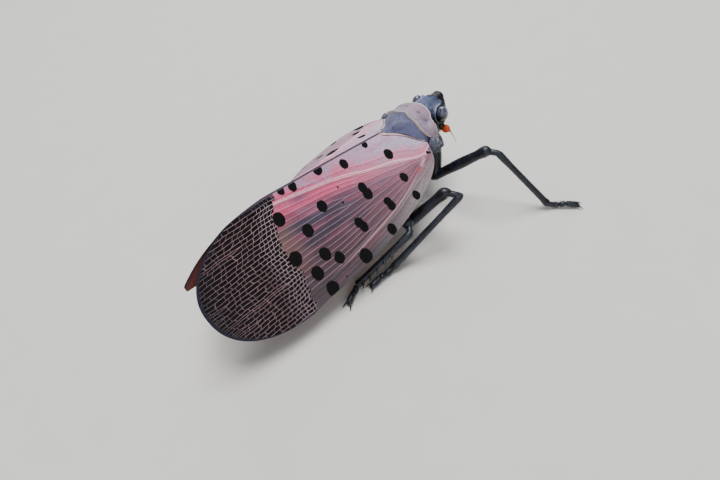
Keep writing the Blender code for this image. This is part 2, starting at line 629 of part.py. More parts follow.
for name, leg in LEGS.items():
    root, knee = [Vector(p) for p in leg["root"]], Vector(leg["knee"])
    elbow, ankle, toe = Vector(leg["elbow"]), Vector(leg["ankle"]), Vector(leg["toe"])
    heading = ((root + [knee])[1] - root[0]).normalized()
    root[0] = root[0] + heading * GAP
    neck = elbow - knee
    stub = knee + neck.normalized() * (neck.length - GAP - TIBIA_RADIUS * 1.2)
    route = rounded_route(root + [root[-1].lerp(knee, 0.5), knee, stub], KNEE_BEND)
    add_piece("femur_" + name, *tube(route, lambda s: curve(FEMUR_PROFILE, s) * FEMUR_RADIUS, 10),
              black, stance, route[0])

    shin = ankle - elbow
    route = [elbow + shin * s for s in (-0.03, -0.012, 0.02, 0.1, 0.3, 0.55, 0.8, 0.93, 1.0)]
    tibia = add_piece("tibia_" + name, *tube(route, lambda s: curve(TIBIA_PROFILE, s) * TIBIA_RADIUS, 8),
                      black, stance, route[0])
    if name.startswith("hind"):
        side = 1 if name.endswith("left") else -1
        spurs = []
        for along in SPUR_PLACES:
            foot = elbow + shin * along
            tip = foot + (Vector((0, side, 0.25)) + shin.normalized() * 0.9).normalized() * SPUR_LENGTH
            spurs.append(add_piece("spur", *tube([foot, foot.lerp(tip, 0.5), tip], spur_radius, 6),
                                   black, stance, foot))
        combine(tibia, spurs, "UNION", FINE_MERGE)

    begin = ankle + shin.normalized() * 0.05
    flat = Vector((toe.x - ankle.x, toe.y - ankle.y, 0)).normalized()
    begin += flat * (GAP + 0.08)
    heights = [(0.0, begin.z), (0.25, 0.26), (0.55, 0.42), (0.85, 0.3), (1.0, 0.2)]
    route = [Vector((begin.x + (toe.x - begin.x) * s, begin.y + (toe.y - begin.y) * s, curve(heights, s)))
             for s in (0, 0.12, 0.25, 0.4, 0.55, 0.7, 0.85, 1.0)]
    verts, faces = tube(route, lambda s: curve(TARSUS_PROFILE, s) * TARSUS_RADIUS, 8)
    verts = [Vector((v[0], v[1], 0.0 if v[2] < FLAT_HEIGHT else v[2])) for v in verts]
    tarsus = add_piece("tarsus_" + name, verts, faces, black, stance, route[0])
    claws = []
    for side in (1, -1):
        across = Vector((-flat.y, flat.x, 0)) * side * 0.4
        foot = route[-2] + across * 0.17 - Vector((0, 0, 0.05))
        tip = foot + (flat + across).normalized() * CLAW_LENGTH + Vector((0, 0, -0.12))
        claws.append(add_piece("claw", *tube([foot, foot.lerp(tip, 0.6), tip], claw_radius, 6),
                               black, stance, foot))
    combine(tarsus, claws, "UNION", FINE_MERGE)

bpy.context.view_layer.update()
corners = [obj.matrix_world @ v.co for obj in bpy.data.objects if obj.type == "MESH" for v in obj.data.vertices]
middle = [(min(c[i] for c in corners) + max(c[i] for c in corners)) / 2 for i in (0, 1)]
stance.location = (-middle[0], -middle[1], 0)
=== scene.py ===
"""Adult spotted lanternfly at rest, a life-size museum model, dressed over its solids.

Sizes are in millimetres. Each section makes one part of the animal, from the room and the
wings down to the claws.
"""
import bpy
import random
import numpy as np
from math import copysign, cos, exp, hypot, pi, radians, sin, sqrt, tan
from mathutils import Matrix, Vector


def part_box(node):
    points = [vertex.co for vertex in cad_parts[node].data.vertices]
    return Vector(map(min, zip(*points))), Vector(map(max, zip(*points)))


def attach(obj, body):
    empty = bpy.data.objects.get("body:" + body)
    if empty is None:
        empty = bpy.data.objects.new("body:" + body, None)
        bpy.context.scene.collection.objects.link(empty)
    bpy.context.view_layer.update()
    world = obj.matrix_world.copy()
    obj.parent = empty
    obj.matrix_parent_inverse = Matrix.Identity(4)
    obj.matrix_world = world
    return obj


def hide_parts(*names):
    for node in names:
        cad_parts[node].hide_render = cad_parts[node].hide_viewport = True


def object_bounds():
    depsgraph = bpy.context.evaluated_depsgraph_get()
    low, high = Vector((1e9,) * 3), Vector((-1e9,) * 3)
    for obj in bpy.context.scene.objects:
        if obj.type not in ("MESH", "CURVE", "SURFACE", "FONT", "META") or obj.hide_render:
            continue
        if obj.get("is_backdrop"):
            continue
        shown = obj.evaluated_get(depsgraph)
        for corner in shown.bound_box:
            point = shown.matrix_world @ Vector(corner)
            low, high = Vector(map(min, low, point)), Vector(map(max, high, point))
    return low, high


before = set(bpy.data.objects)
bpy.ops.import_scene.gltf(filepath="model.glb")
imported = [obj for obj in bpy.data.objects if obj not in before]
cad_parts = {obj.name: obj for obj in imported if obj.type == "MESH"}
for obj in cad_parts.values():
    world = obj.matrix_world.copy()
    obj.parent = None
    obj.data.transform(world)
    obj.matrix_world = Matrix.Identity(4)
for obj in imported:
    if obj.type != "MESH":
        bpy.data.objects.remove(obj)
cad_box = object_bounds()

# The room: a plain pale floor that curves up behind, three soft lamps and pale air, all in
# metres. The model stands on the floor at height zero, and the camera looks down over its
# right side, a little to the front, rolled as a hand-held camera would be.
MM = 0.001
BODY_PITCH = radians(5)
EYE_CENTRE = (10.55, 1.32, 0.36)
VIEW_AZIMUTH, VIEW_HEIGHT, VIEW_ROLL = (radians(turn) for turn in (31.7, 46.6, -16.0))
VIEW_DISTANCE = 37.8 * MM
VIEW_WIDTH = radians(72.6)
VIEW_SHIFT = (18.5 / 720, -52.7 / 720)
CLIP_START = 0.001
FLOOR_RADIUS, CURVE_RADIUS, WALL_TOP = 0.4, 0.2, 0.45
FLOOR_SIDES, CURVE_STEPS = 96, 16
LAMPS = (("lamp_key", (0.04, 0.03, 0.24), 0.14, 0.8), ("lamp_fill", (-0.12, -0.2, 0.12), 0.2, 0.2),
         ("lamp_back", (0.12, 0.2, 0.12), 0.16, 0.2))
LAMP_AIM = Vector((0, 0, 0.004))
AIR_COLOUR, AIR_LIGHT = (0.86, 0.9, 1.0, 1), 0.28

eye_boxes = [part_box("eye_left"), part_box("eye_right")]
eyes_middle = sum((lo + hi for lo, hi in eye_boxes), Vector()) / 4
pitch_turn = Matrix.Rotation(-BODY_PITCH, 4, "Y")
trunk_place = Matrix.Translation(
    eyes_middle - (pitch_turn @ Vector((EYE_CENTRE[0] * MM, 0, EYE_CENTRE[2] * MM)))) @ pitch_turn

back = Vector((-sin(VIEW_AZIMUTH) * cos(VIEW_HEIGHT),
               -cos(VIEW_AZIMUTH) * cos(VIEW_HEIGHT), sin(VIEW_HEIGHT)))
level = Vector((0, 0, 1)).cross(back).normalized()
upright = back.cross(level)
right = level * cos(VIEW_ROLL) + upright * sin(VIEW_ROLL)
upright = upright * cos(VIEW_ROLL) - level * sin(VIEW_ROLL)
camera_turn = Matrix((right, upright, back)).transposed().to_4x4()
lens = bpy.data.cameras.new("camera")
lens.sensor_fit = "HORIZONTAL"
lens.angle = VIEW_WIDTH
lens.shift_x, lens.shift_y = VIEW_SHIFT
lens.clip_start = CLIP_START
camera = bpy.data.objects.new("camera", lens)
camera.matrix_world = trunk_place @ Matrix.Translation(back * VIEW_DISTANCE) @ camera_turn
bpy.context.scene.collection.objects.link(camera)
bpy.context.scene.camera = camera


class Amount:
    """A number or colour that changes over a skin; reckoning with it joins shader nodes."""

    def __init__(self, socket):
        self.socket, self.tree = socket, socket.id_data

    __abs__ = lambda a: reckon("ABSOLUTE", a)
    __add__ = lambda a, b: reckon("ADD", a, b)
    __sub__ = lambda a, b: reckon("SUBTRACT", a, b)
    __rsub__ = lambda a, b: reckon("SUBTRACT", b, a)
    __mul__ = lambda a, b: reckon("MULTIPLY", a, b)
    __truediv__ = lambda a, b: reckon("DIVIDE", a, b)


def colour(red, green, blue):
    """A colour given in screen values 0-255, as the shader wants it."""
    def linear(v):
        v /= 255
        return v / 12.92 if v <= 0.04045 else ((v + 0.055) / 1.055) ** 2.4
    return (linear(red), linear(green), linear(blue), 1.0)


def fill(node, values):
    """Gives a node's sockets, in turn, an amount, a screen colour, a number or nothing."""
    for socket, value in zip(node.inputs, values):
        if isinstance(value, Amount):
            value.tree.links.new(value.socket, socket)
        elif value is not None:
            socket.default_value = colour(*value) if isinstance(value, tuple) else value
    return [Amount(socket) for socket in node.outputs]


def shade(kind, *values, tree=None, out=0, **settings):
    """One output of a new shader node, which stands in the tree of the amounts it is given."""
    tree = tree or next(value.tree for value in values if isinstance(value, Amount))
    node = tree.nodes.new("ShaderNode" + kind)
    for key, value in settings.items():
        setattr(node, key, value)
    return fill(node, values)[out]


def reckon(operation, *values):
    """One step of arithmetic on amounts and numbers."""
    return shade("Math", *values, operation=operation)


def step_up(value, low, high):
    """0 below low, 1 above high, and a soft step between; low may be the larger."""
    return shade("MapRange", value, low, high, 0.0, 1.0, interpolation_type="SMOOTHSTEP")


def tint(mask, under, over, strength=1.0):
    """The colour under, covered by the one over as far as the mask and strength say."""
    mask = mask if strength == 1 else mask * strength
    return shade("Mix", mask, *[None] * 5, under, over, out=2, data_type="RGBA")


def noise(where, scale, *detail):
    """Soft cloudy pattern from 0 to 1; detail adds its fineness and its roughness."""
    return shade("TexNoise", where, None, scale, *detail)


def on_model(tree):
    """The place on the model, in metres."""
    return shade("TexCoord", tree=tree, out=3)


def new_finish(name, roughness, **fixed):
    """A material and its tree; fixed holds the shader's values that are the same all over."""
    finish = bpy.data.materials.new(name)
    finish.use_nodes = True
    shader = finish.node_tree.nodes["Principled BSDF"]
    shader.inputs["Roughness"].default_value = roughness
    for socket, value in fixed.items():
        shader.inputs[socket.replace("_", " ")].default_value = value
    return finish, finish.node_tree


def dress(finish, **sources):
    """Joins amounts to the sockets of a finish's shader."""
    shader = finish.node_tree.nodes["Principled BSDF"]
    for socket, source in sources.items():
        source.tree.links.new(source.socket, shader.inputs[socket.replace("_", " ")])
    return finish


profile = [(FLOOR_RADIUS * part, 0.0) for part in (0.25, 0.5, 0.75, 1.0)]
profile += [(FLOOR_RADIUS + CURVE_RADIUS * sin(turn), CURVE_RADIUS * (1 - cos(turn)))
            for turn in (pi / 2 * step / CURVE_STEPS for step in range(1, CURVE_STEPS + 1))]
profile.append((FLOOR_RADIUS + CURVE_RADIUS, WALL_TOP))
floor_verts = [(r * cos(a), r * sin(a), z) for r, z in profile
               for a in (2 * pi * k / FLOOR_SIDES for k in range(FLOOR_SIDES))]
floor_faces = [tuple(range(FLOOR_SIDES))]
for i in range(len(profile) - 1):
    for k in range(FLOOR_SIDES):
        a, b = i * FLOOR_SIDES + k, i * FLOOR_SIDES + (k + 1) % FLOOR_SIDES
        floor_faces.append((a, a + FLOOR_SIDES, b + FLOOR_SIDES, b))
floor_mesh = bpy.data.meshes.new("floor")
floor_mesh.from_pydata(floor_verts, [], floor_faces)
floor_mesh.shade_smooth()
floor = bpy.data.objects.new("floor", floor_mesh)
bpy.context.scene.collection.objects.link(floor)
paper, tree = new_finish("floor_paper", 0.9)
mottle = noise(on_model(tree), 300.0, 3.0)
floor_mesh.materials.append(
    dress(paper, Base_Color=tint(mottle, (214, 212, 208), (222, 220, 216))))
floor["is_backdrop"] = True

for name, place, size, power in LAMPS:
    lamp = bpy.data.lights.new(name, "AREA")
    lamp.size = size
    lamp.energy = power
    holder = bpy.data.objects.new(name, lamp)
    holder.location = place
    holder.rotation_euler = (LAMP_AIM - Vector(place)).to_track_quat("-Z", "Y").to_euler()
    bpy.context.scene.collection.objects.link(holder)
air = bpy.data.worlds.new("air")
air.use_nodes = True
air.node_tree.nodes["Background"].inputs[0].default_value = AIR_COLOUR
air.node_tree.nodes["Background"].inputs[1].default_value = AIR_LIGHT
bpy.context.scene.world = air

# Forewings: two leathery sheets folded like a roof over the body, the right one's hind
# edge meeting the left one's along the ridge. Veins stand proud of the membrane; the
# outer third is a dark net of short cells between pale veins, the rest pink with spots.
HALF_SEAM = 0.03
RIDGE_HEIGHT = [(-13.6, 5.2), (-11, 5.04), (-7, 4.65), (-3, 3.85), (1, 2.99), (5, 2.08),
                (7.4, 1.55)]
ROOF_ANGLE = [(-13.6, 58), (-11, 56.7), (-7, 54.4), (-3, 48.3), (1, 40.3), (5, 32.1), (7.4, 28.5)]
ROOF_BOW = radians(0.25)
CLAVAL_MARGIN = [(4.65, 0.0), (5.58, 0.5), (6.39, 1.19), (6.9, 1.85), (7.4, 2.3)]
COSTAL_MARGIN = [(-8, 8.85), (-4, 8.2), (0, 7.2), (3, 6.2), (5.4, 5.1), (6.6, 4.22), (7.1, 3.48),
                 (7.4, 2.7)]
WING_BASE_X, RIDGE_END_X, COSTA_END_X = 7.38, -6.28, -8.0
WING_TIP_X, WING_TIP_DOWN, TIP_ROUNDNESS = -13.61, 4.57, 2.22
# The left wing's tip droops and is drawn out: its end's place, by depth under the ridge.
LEFT_TIP_DROP, LEFT_DROP_X, LEFT_FLATTER = 20.0, -3.0, 3.0
LEFT_END = [(0, -6.28), (0.7, -9.1), (1.33, -10.2), (2.2, -11.65), (3.0, -12.7), (3.6, -13.35),
            (3.68, -13.38), (4.1, -12.8), (4.6, -12.35), (5.5, -12.0), (6.6, -11.35), (7.7, -10.4),
            (8.5, -9.2), (8.85, -8)]
MEMBRANE = 0.14
WING_ROWS, WING_COLUMNS = 340, 240
# Veins: stems side by side, each forking twice at (start, length, spread) along the wing.
STEMS = 6
FORKS = ((0.1, 0.08, 0.25), (0.3, 0.09, 0.125))
HIND_VEIN = 0.67
VEIN_RISE, MAIN_VEIN_RISE, THREAD_RISE, SAG, WAVE = 0.04, 0.09, 0.025, 0.018, 0.02
MAIN_VEIN_GAP = 0.008
NET_ROWS = 31
NET_FORK, NET_SPREAD = (0.6, 18.0, 0.9), 0.25
CLAVAL_VEIN = [(7.05, 3.05), (6.4, 3.4), (4.2, 2.84), (1.74, 2.15), (-0.6, 1.51), (-3.7, 0.92),
               (-8, 0.5)]
FRONT_STRIP = 1.2
NET_EDGE = [(0.0, -5.55), (0.5, -5.6), (1.4, -6.3), (2.6, -6.7), (3.6, -7.05), (5.2, -7.05),
            (6.0, -6.95), (6.9, -7.2), (7.7, -7.45), (9.0, -7.6)]
# Spots and other marks: place along the body, depth under the ridge, and radius.
SPOTS = [(3.94, 1.81, 0.4), (0.37, 0.75, 0.36), (-1.61, 0.14, 0.4), (2.86, 0.26, 0.27),
         (-3.92, 0.3, 0.34), (-4.79, 0.16, 0.3), (3.58, 3.95, 0.35), (0.37, 2.95, 0.38),
         (0.38, 3.52, 0.42), (-3.03, 2.56, 0.4), (1.23, 4.84, 0.34), (1.27, 5.22, 0.36),
         (3.35, 5.61, 0.33), (-6.1, 1.81, 0.46), (-4.93, 3.54, 0.44), (-1.56, 5.0, 0.37),
         (-1.45, 5.43, 0.37), (0.13, 6.72, 0.4), (-6.8, 4.76, 0.5), (-4.93, 5.62, 0.45),
         (-4.25, 6.42, 0.42), (-2.63, 7.35, 0.52), (-6.16, 6.54, 0.48), (-5.91, 8.1, 0.52),
         (-1.18, 2.0, 0.07), (-1.59, 3.11, 0.07), (-4.62, 7.9, 0.08), (-3.0, 6.86, 0.06),
         (6.68, 3.34, 0.12), (6.86, 3.44, 0.1)]
LEFT_SPOTS = [(5.8, 4.6, 0.48), (4.77, 3.5, 0.42), (4.06, 1.8, 0.38), (1.63, 3.0, 0.64),
              (-0.72, 2.0, 0.5), (-1.35, 0.12, 0.4), (-3.9, 0.25, 0.4)]
LEFT_SPOTS += [spot for spot in SPOTS if spot[1] > 4.7 or spot[0] < -2.9]
SPOT_SWELL = 1.02
FOLD = ((6.05, 3.6), (5.48, 3.93))
RED_ROOT, BLOTCH, DARK_BASE = (5.04, 4.14), (-4.0, 1.25), (7.15, 3.3)
SIDES = (("left", 1), ("right", -1))


def curve(stations, x):
    """Smooth curve through a few stations, without overshoot."""
    pts = sorted(stations)
    if x <= pts[0][0]:
        return pts[0][1]
    if x >= pts[-1][0]:
        return pts[-1][1]
    slopes = [(b[1] - a[1]) / (b[0] - a[0]) for a, b in zip(pts, pts[1:])]
    tangents = [slopes[0]]
    for before, after in zip(slopes, slopes[1:]):
        tangents.append(2 * before * after / (before + after) if before * after > 0 else 0.0)
    tangents.append(slopes[-1])
    for i, (a, b) in enumerate(zip(pts, pts[1:])):
        if x <= b[0]:
            h = b[0] - a[0]
            u = (x - a[0]) / h
            return ((1 + 2 * u) * (1 - u) ** 2 * a[1] + u * (1 - u) ** 2 * h * tangents[i]
                    + u * u * (3 - 2 * u) * b[1] + u * u * (u - 1) * h * tangents[i + 1])


def soft(low, high, value):
    """step_up for plain numbers."""
    u = min(1.0, max(0.0, (value - low) / (high - low)))
    return u * u * (3 - 2 * u)


def hump(distance, width):
    return exp(-(distance / width) ** 2)


def roof_angle(side, x):
    angle = curve(ROOF_ANGLE, x)
    if side > 0:
        angle += LEFT_TIP_DROP * min(1.0, max(0.0, (LEFT_DROP_X - x) / (LEFT_DROP_X - WING_TIP_X)))
        angle -= LEFT_FLATTER * soft(-4.0, 0.0, x)
    return angle


def roof_point(side, x, down, depth):
    """Point of a wing: down the roof's slope from the ridge, depth under its outer face."""
    start = radians(roof_angle(side, x))
    here = start + ROOF_BOW * down
    y = HALF_SEAM + (sin(here) - sin(start)) / ROOF_BOW
    z = curve(RIDGE_HEIGHT, x) + (cos(here) - cos(start)) / ROOF_BOW
    return Vector((x, side * (y - depth * sin(here)), z - depth * cos(here)))


def claval_edge(x):
    """Depth of the wing's hind margin under the ridge, cut away beside the mesonotum."""
    return curve(CLAVAL_MARGIN, x) + 0.03 * soft(4.65, 5.15, x) if x > 4.65 else 0.0


def costal_edge(x):
    """Depth of the wing's front margin under the ridge."""
    return curve(COSTAL_MARGIN, max(x, COSTA_END_X))


def wing_end_x(side, across):
    """Where the wing ends: an oval tip on the right, the drawn-out one on the left."""
    deep = costal_edge(COSTA_END_X)
    down = across * deep
    if side > 0:
        return curve(LEFT_END, down)
    power = TIP_ROUNDNESS / 2
    if down < WING_TIP_DOWN:
        c = (1 - down / WING_TIP_DOWN) ** power
        s = sqrt(max(0.0, 1 - c * c))
        return RIDGE_END_X - (RIDGE_END_X - WING_TIP_X) * s ** (1 / power)
    s = min(1.0, (down - WING_TIP_DOWN) / (deep - WING_TIP_DOWN)) ** power
    c = sqrt(max(0.0, 1 - s * s))
    return COSTA_END_X - (COSTA_END_X - WING_TIP_X) * c ** (1 / power)


def on_veins(x, down, top, edge):
    """Place between the veins: 0 at the hind edge, 1/6 on the claval vein, 5/6 at the strip."""
    claval = max(curve(CLAVAL_VEIN, x), top + 0.3)
    strip = edge - min(FRONT_STRIP, 0.55 * (edge - claval))
    bounds = ((top, 0.0), (claval, 1 / STEMS), (strip, 1 - 1 / STEMS), (edge, 1.0))
    for (low, a), (high, b) in zip(bounds, bounds[1:]):
        if down <= high:
            return a + (b - a) * (down - low) / (high - low)
    return 1.0


def fork_delay(place):
    """Each stem of veins forks a little earlier or later than its neighbour."""
    return 0.05 * sin(9.1 * (place * STEMS // 1) + 2.0)


def vein_gap(place, along):
    """Distance from the nearest vein in parts of a stem's width, as the veins fork outwards."""
    wide = place * STEMS
    if wide < 1:
        return abs(wide - HIND_VEIN)
    gap = abs(wide % 1 - 0.5)
    for start, length, spread in FORKS:
        gap = abs(gap - spread * soft(start, start + length, along))
    return gap


def sheet(rows, columns, corner):
    """Closed body of two skins; corner(u, w) gives a point of each and the marks to paint."""
    found = [corner(i / rows, j / columns) for i in range(rows + 1) for j in range(columns + 1)]
    outer, inner, *marks = zip(*found)
    faces, low, wide = [], len(outer), columns + 1
    for i in range(rows):
        for a in range(i * wide, i * wide + columns):
            faces.append((a, a + 1, a + wide + 1, a + wide))
            faces.append((low + a, low + a + wide, low + a + wide + 1, low + a + 1))
    rim = list(range(wide)) + [i * wide + columns for i in range(1, rows + 1)]
    rim += [rows * wide + j for j in range(columns - 1, -1, -1)]
    rim += [i * wide for i in range(rows - 1, 0, -1)]
    for a, b in zip(rim, rim[1:] + rim[:1]):
        faces.append((b, a, low + a, low + b))
    return (outer + inner, faces), marks


def piece(name, body, finish, place=None, sharp=60):
    """The finished piece that stands for the solid of its name, in the trunk's frame or place."""
    verts, faces = body
    turn = place or trunk_place
    mesh = bpy.data.meshes.new(name)
    mesh.from_pydata([turn @ (Vector(v) * MM) for v in verts], [], faces)
    mesh.update()
    volume = sum(mesh.vertices[p.vertices[0]].co.dot(
        mesh.vertices[p.vertices[k]].co.cross(mesh.vertices[p.vertices[k + 1]].co))
        for p in mesh.polygons for k in range(1, len(p.vertices) - 1))
    if volume < 0:
        mesh.flip_normals()
    mesh.shade_smooth()
    mesh.set_sharp_from_angle(angle=radians(sharp))
    mesh.materials.append(finish)
    made = bpy.data.objects.new(name, mesh)
    bpy.context.scene.collection.objects.link(made)
    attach(made, "root")
    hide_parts(name)
    return made


def paint(made, name, values):
    """Keeps one number, or three, for every corner of a piece under a name."""
    several = isinstance(values[0], tuple)
    layer = made.data.attributes.new(name, "FLOAT_VECTOR" if several else "FLOAT", "POINT")
    layer.data.foreach_set("vector" if several else "value", np.array(values, dtype=float).ravel())


def wing_layers(side, x, down):
    """Depth inside the net, and inside the nearest spot, in millimetres."""
    net = -curve([(d, -e) for d, e in NET_EDGE], down) - x
    spot = -9.0
    for sx, sd, radius in LEFT_SPOTS if side > 0 else SPOTS:
        dx, dd = x - sx, down - sd
        if abs(dx) < 1.0 and abs(dd) < 1.0:
            spot = max(spot, radius * SPOT_SWELL - hypot((dx + 0.1 * dd) * 1.14, dd * 0.9))
    return net, spot


def net_row(x, down, across, net):
    """Place among the net's rows, and how far this row's thread has forked in two."""
    rows = across * NET_ROWS + 0.06 * sin(1.9 * x + 2.1 * down)
    rows += 0.05 * sin(3.7 * x - 1.3 * down)
    chosen = sin(rows // 1 * 12.9898 + 4.1) * 43758.5453 % 1
    start = NET_FORK[0] + NET_FORK[1] * chosen
    return rows, NET_SPREAD * soft(start, start + NET_FORK[2], net)


def near(x, down, place, width, stretch=1.0):
    """1 at a place on the wing, fading over a width that may be stretched along the body."""
    return hump(hypot((x - place[0]) / stretch, down - place[1]), width)


def near_line(x, down, a, b):
    """Distance from the line between two places on the wing."""
    dx, dd = b[0] - a[0], b[1] - a[1]
    u = min(1.0, max(0.0, ((x - a[0]) * dx + (down - a[1]) * dd) / (dx * dx + dd * dd)))
    return hypot(x - a[0] - u * dx, down - a[1] - u * dd)


def make_forewing(name, side, finish):
    deep = costal_edge(COSTA_END_X)

    def corner(along, across):
        end = wing_end_x(side, across)
        x = WING_BASE_X + along ** 0.9 * (end - WING_BASE_X)
        top, edge = claval_edge(x), costal_edge(x)
        down = top + across * (edge - top)
        place = on_veins(x, down, top, edge) + 0.004 * sin(0.9 * x + 11 * across)
        late = along - fork_delay(place)
        net, spot = wing_layers(side, x, down)
        calm = min(1.0, 14 * across, 14 * (1 - across), 20 * along, 24 * (1 - along))
        gap = vein_gap(place, late)
        ridge = max(0.0, 1 - gap / (0.075 - 0.02 * soft(0.3, 0.6, late))) ** 1.5
        main = sum(hump(place - 1 / STEMS + off, 0.006) for off in (MAIN_VEIN_GAP, -MAIN_VEIN_GAP))
        height = (VEIN_RISE * ridge + MAIN_VEIN_RISE * main) * (1 - 0.8 * soft(-0.3, 0.5, net))
        height *= calm * (1 - soft(-0.08, 0.06, spot))
        height += SAG * (0.25 - min(gap, 0.25)) * 4 * calm * (1 - soft(-1.0, 1.0, net))
        rows, spread = net_row(x, down, across, net)
        thread = abs(abs(rows % 1 - 0.5) - spread)
        height += THREAD_RISE * max(0.0, 1 - thread / 0.2) * soft(0, 0.4, net) * calm
        height += WAVE * sin(2.3 * x + 1.1 * down) * calm
        start = max(top, MEMBRANE * tan(radians(roof_angle(side, x))))
        down_in = start + across * (edge - start)
        # Painted sheen: the left wing is lightened where it is seen at a grazing angle, kept in the
        # same channel as the pale fold.
        left_wing_sheen = 0.5 * soft(0.8, 2.0, down) * soft(-5.0, -2.0, x) if side > 0 else 0.0
        return (roof_point(side, x, down, -height),
                roof_point(side, x, down_in, MEMBRANE - height * 0.6),
                (place, late, x), (rows, min(x - end, (1 - across) * deep + 0.12), spread),
                (net, spot, down), down - top,
                (max(left_wing_sheen, hump(near_line(x, down, *FOLD), 0.12)), near(x, down, RED_ROOT, 0.16),
                 max(near(x, down, BLOTCH, 0.3, 2.4), near(x, down, DARK_BASE, 0.3))))

    body, marks = sheet(WING_ROWS, WING_COLUMNS, corner)
    made = piece(name, body, finish)
    for label, values in zip(("vein_place", "net_place", "wing_marks", "hind_gap", "wing_stains_and_sheen"),
                             marks):
        paint(made, label, values * 2)
    paint(made, "inner_face", [0.0] * len(marks[0]) + [1.0] * len(marks[0]))


def new_group(name, entries, exits):
    """A node group with named sockets, and the amounts that it is given."""
    group = bpy.data.node_groups.new(name, "ShaderNodeTree")
    for way, sockets in (("INPUT", entries), ("OUTPUT", exits)):
        for label, kind in sockets:
            group.interface.new_socket(label, in_out=way, socket_type="NodeSocket" + kind)
    return group, fill(group.nodes.new("NodeGroupInput"), ())[:len(entries)]


def vein_group():
    """Group: distance to the nearest vein in parts of a stem, from the place on the wing."""
    group, (place, along) = new_group(
        "vein_pattern", (("Place", "Float"), ("Along", "Float")), (("Gap", "Float"),))
    wide = place * float(STEMS)
    gap = abs(reckon("FRACT", wide) - 0.5)
    for start, length, spread in FORKS:
        gap = abs(gap - step_up(along, start, start + length) * spread)
    hind, lone = reckon("LESS_THAN", wide, 1.0), abs(wide - HIND_VEIN)
    fill(group.nodes.new("NodeGroupOutput"), [hind * (lone - gap) + gap])
    return group


vein_pattern = vein_group()


def use_group(tree, group, *values):
    """Places a group in a tree and gives what it puts out."""
    node = tree.nodes.new("ShaderNodeGroup")
    node.node_tree = group
    return fill(node, values)


def apart(vector):
    return fill(vector.tree.nodes.new("ShaderNodeSeparateXYZ"), [vector])


def kept(tree, name):
    """The three numbers painted on a piece under a name."""
    return apart(shade("Attribute", tree=tree, out=1, attribute_name=name))


def kept_one(tree, name):
    return shade("Attribute", tree=tree, out=2, attribute_name=name)


def across_wing(across, stops):
    """Colours over the wing's depth, from the ridge to the front margin."""
    node = across.tree.nodes.new("ShaderNodeValToRGB")
    ramp = node.color_ramp
    ramp.interpolation = "EASE"
    while len(ramp.elements) < len(stops):
        ramp.elements.new(0.5)
    for element, (place, shown) in zip(ramp.elements, stops):
        element.position = place
        element.color = colour(*shown)
    return fill(node, [across])[0]


def lot(seed):
    """A random number for each value of the seed."""
    return shade("TexWhiteNoise", None, seed, noise_dimensions="1D")


def wing_net(rows, spread, rim, net, where):
    """Mask of the net's pale threads: long rows that fork, joined by short cross threads."""
    off = abs(reckon("FRACT", rows) - 0.5)
    between = reckon("FLOOR", rows + 0.5) * 2.0
    within = reckon("FLOOR", rows) * 2.0 + 1.0
    lane = reckon("LESS_THAN", off, spread) * (within - between) + between
    length = reckon("MINIMUM", net, 1.5) * 1.3 + net * 1.9 + noise(where, 0.9, 1.0) * 1.6
    length = length + lot(lane) * 5.0
    cut = lot(lane * 17.0 + reckon("FLOOR", length)) * 0.44 + 0.28
    cross = abs(reckon("FRACT", length) - cut)
    close_by = step_up(net, 2.0, 1.0)
    row_line = step_up(abs(off - spread) / (close_by * 0.006 + 0.058), 1.25, 0.6)
    cross_line = step_up(cross / (close_by * 0.024 + 0.03), 1.25, 0.6)
    return reckon("MAXIMUM", row_line, cross_line * 0.9) * step_up(rim, 0.12, 0.26)


def bumped(height, distance, strength):
    """A normal raised by height times a distance."""
    return shade("Bump", strength, distance * MM, None, height)


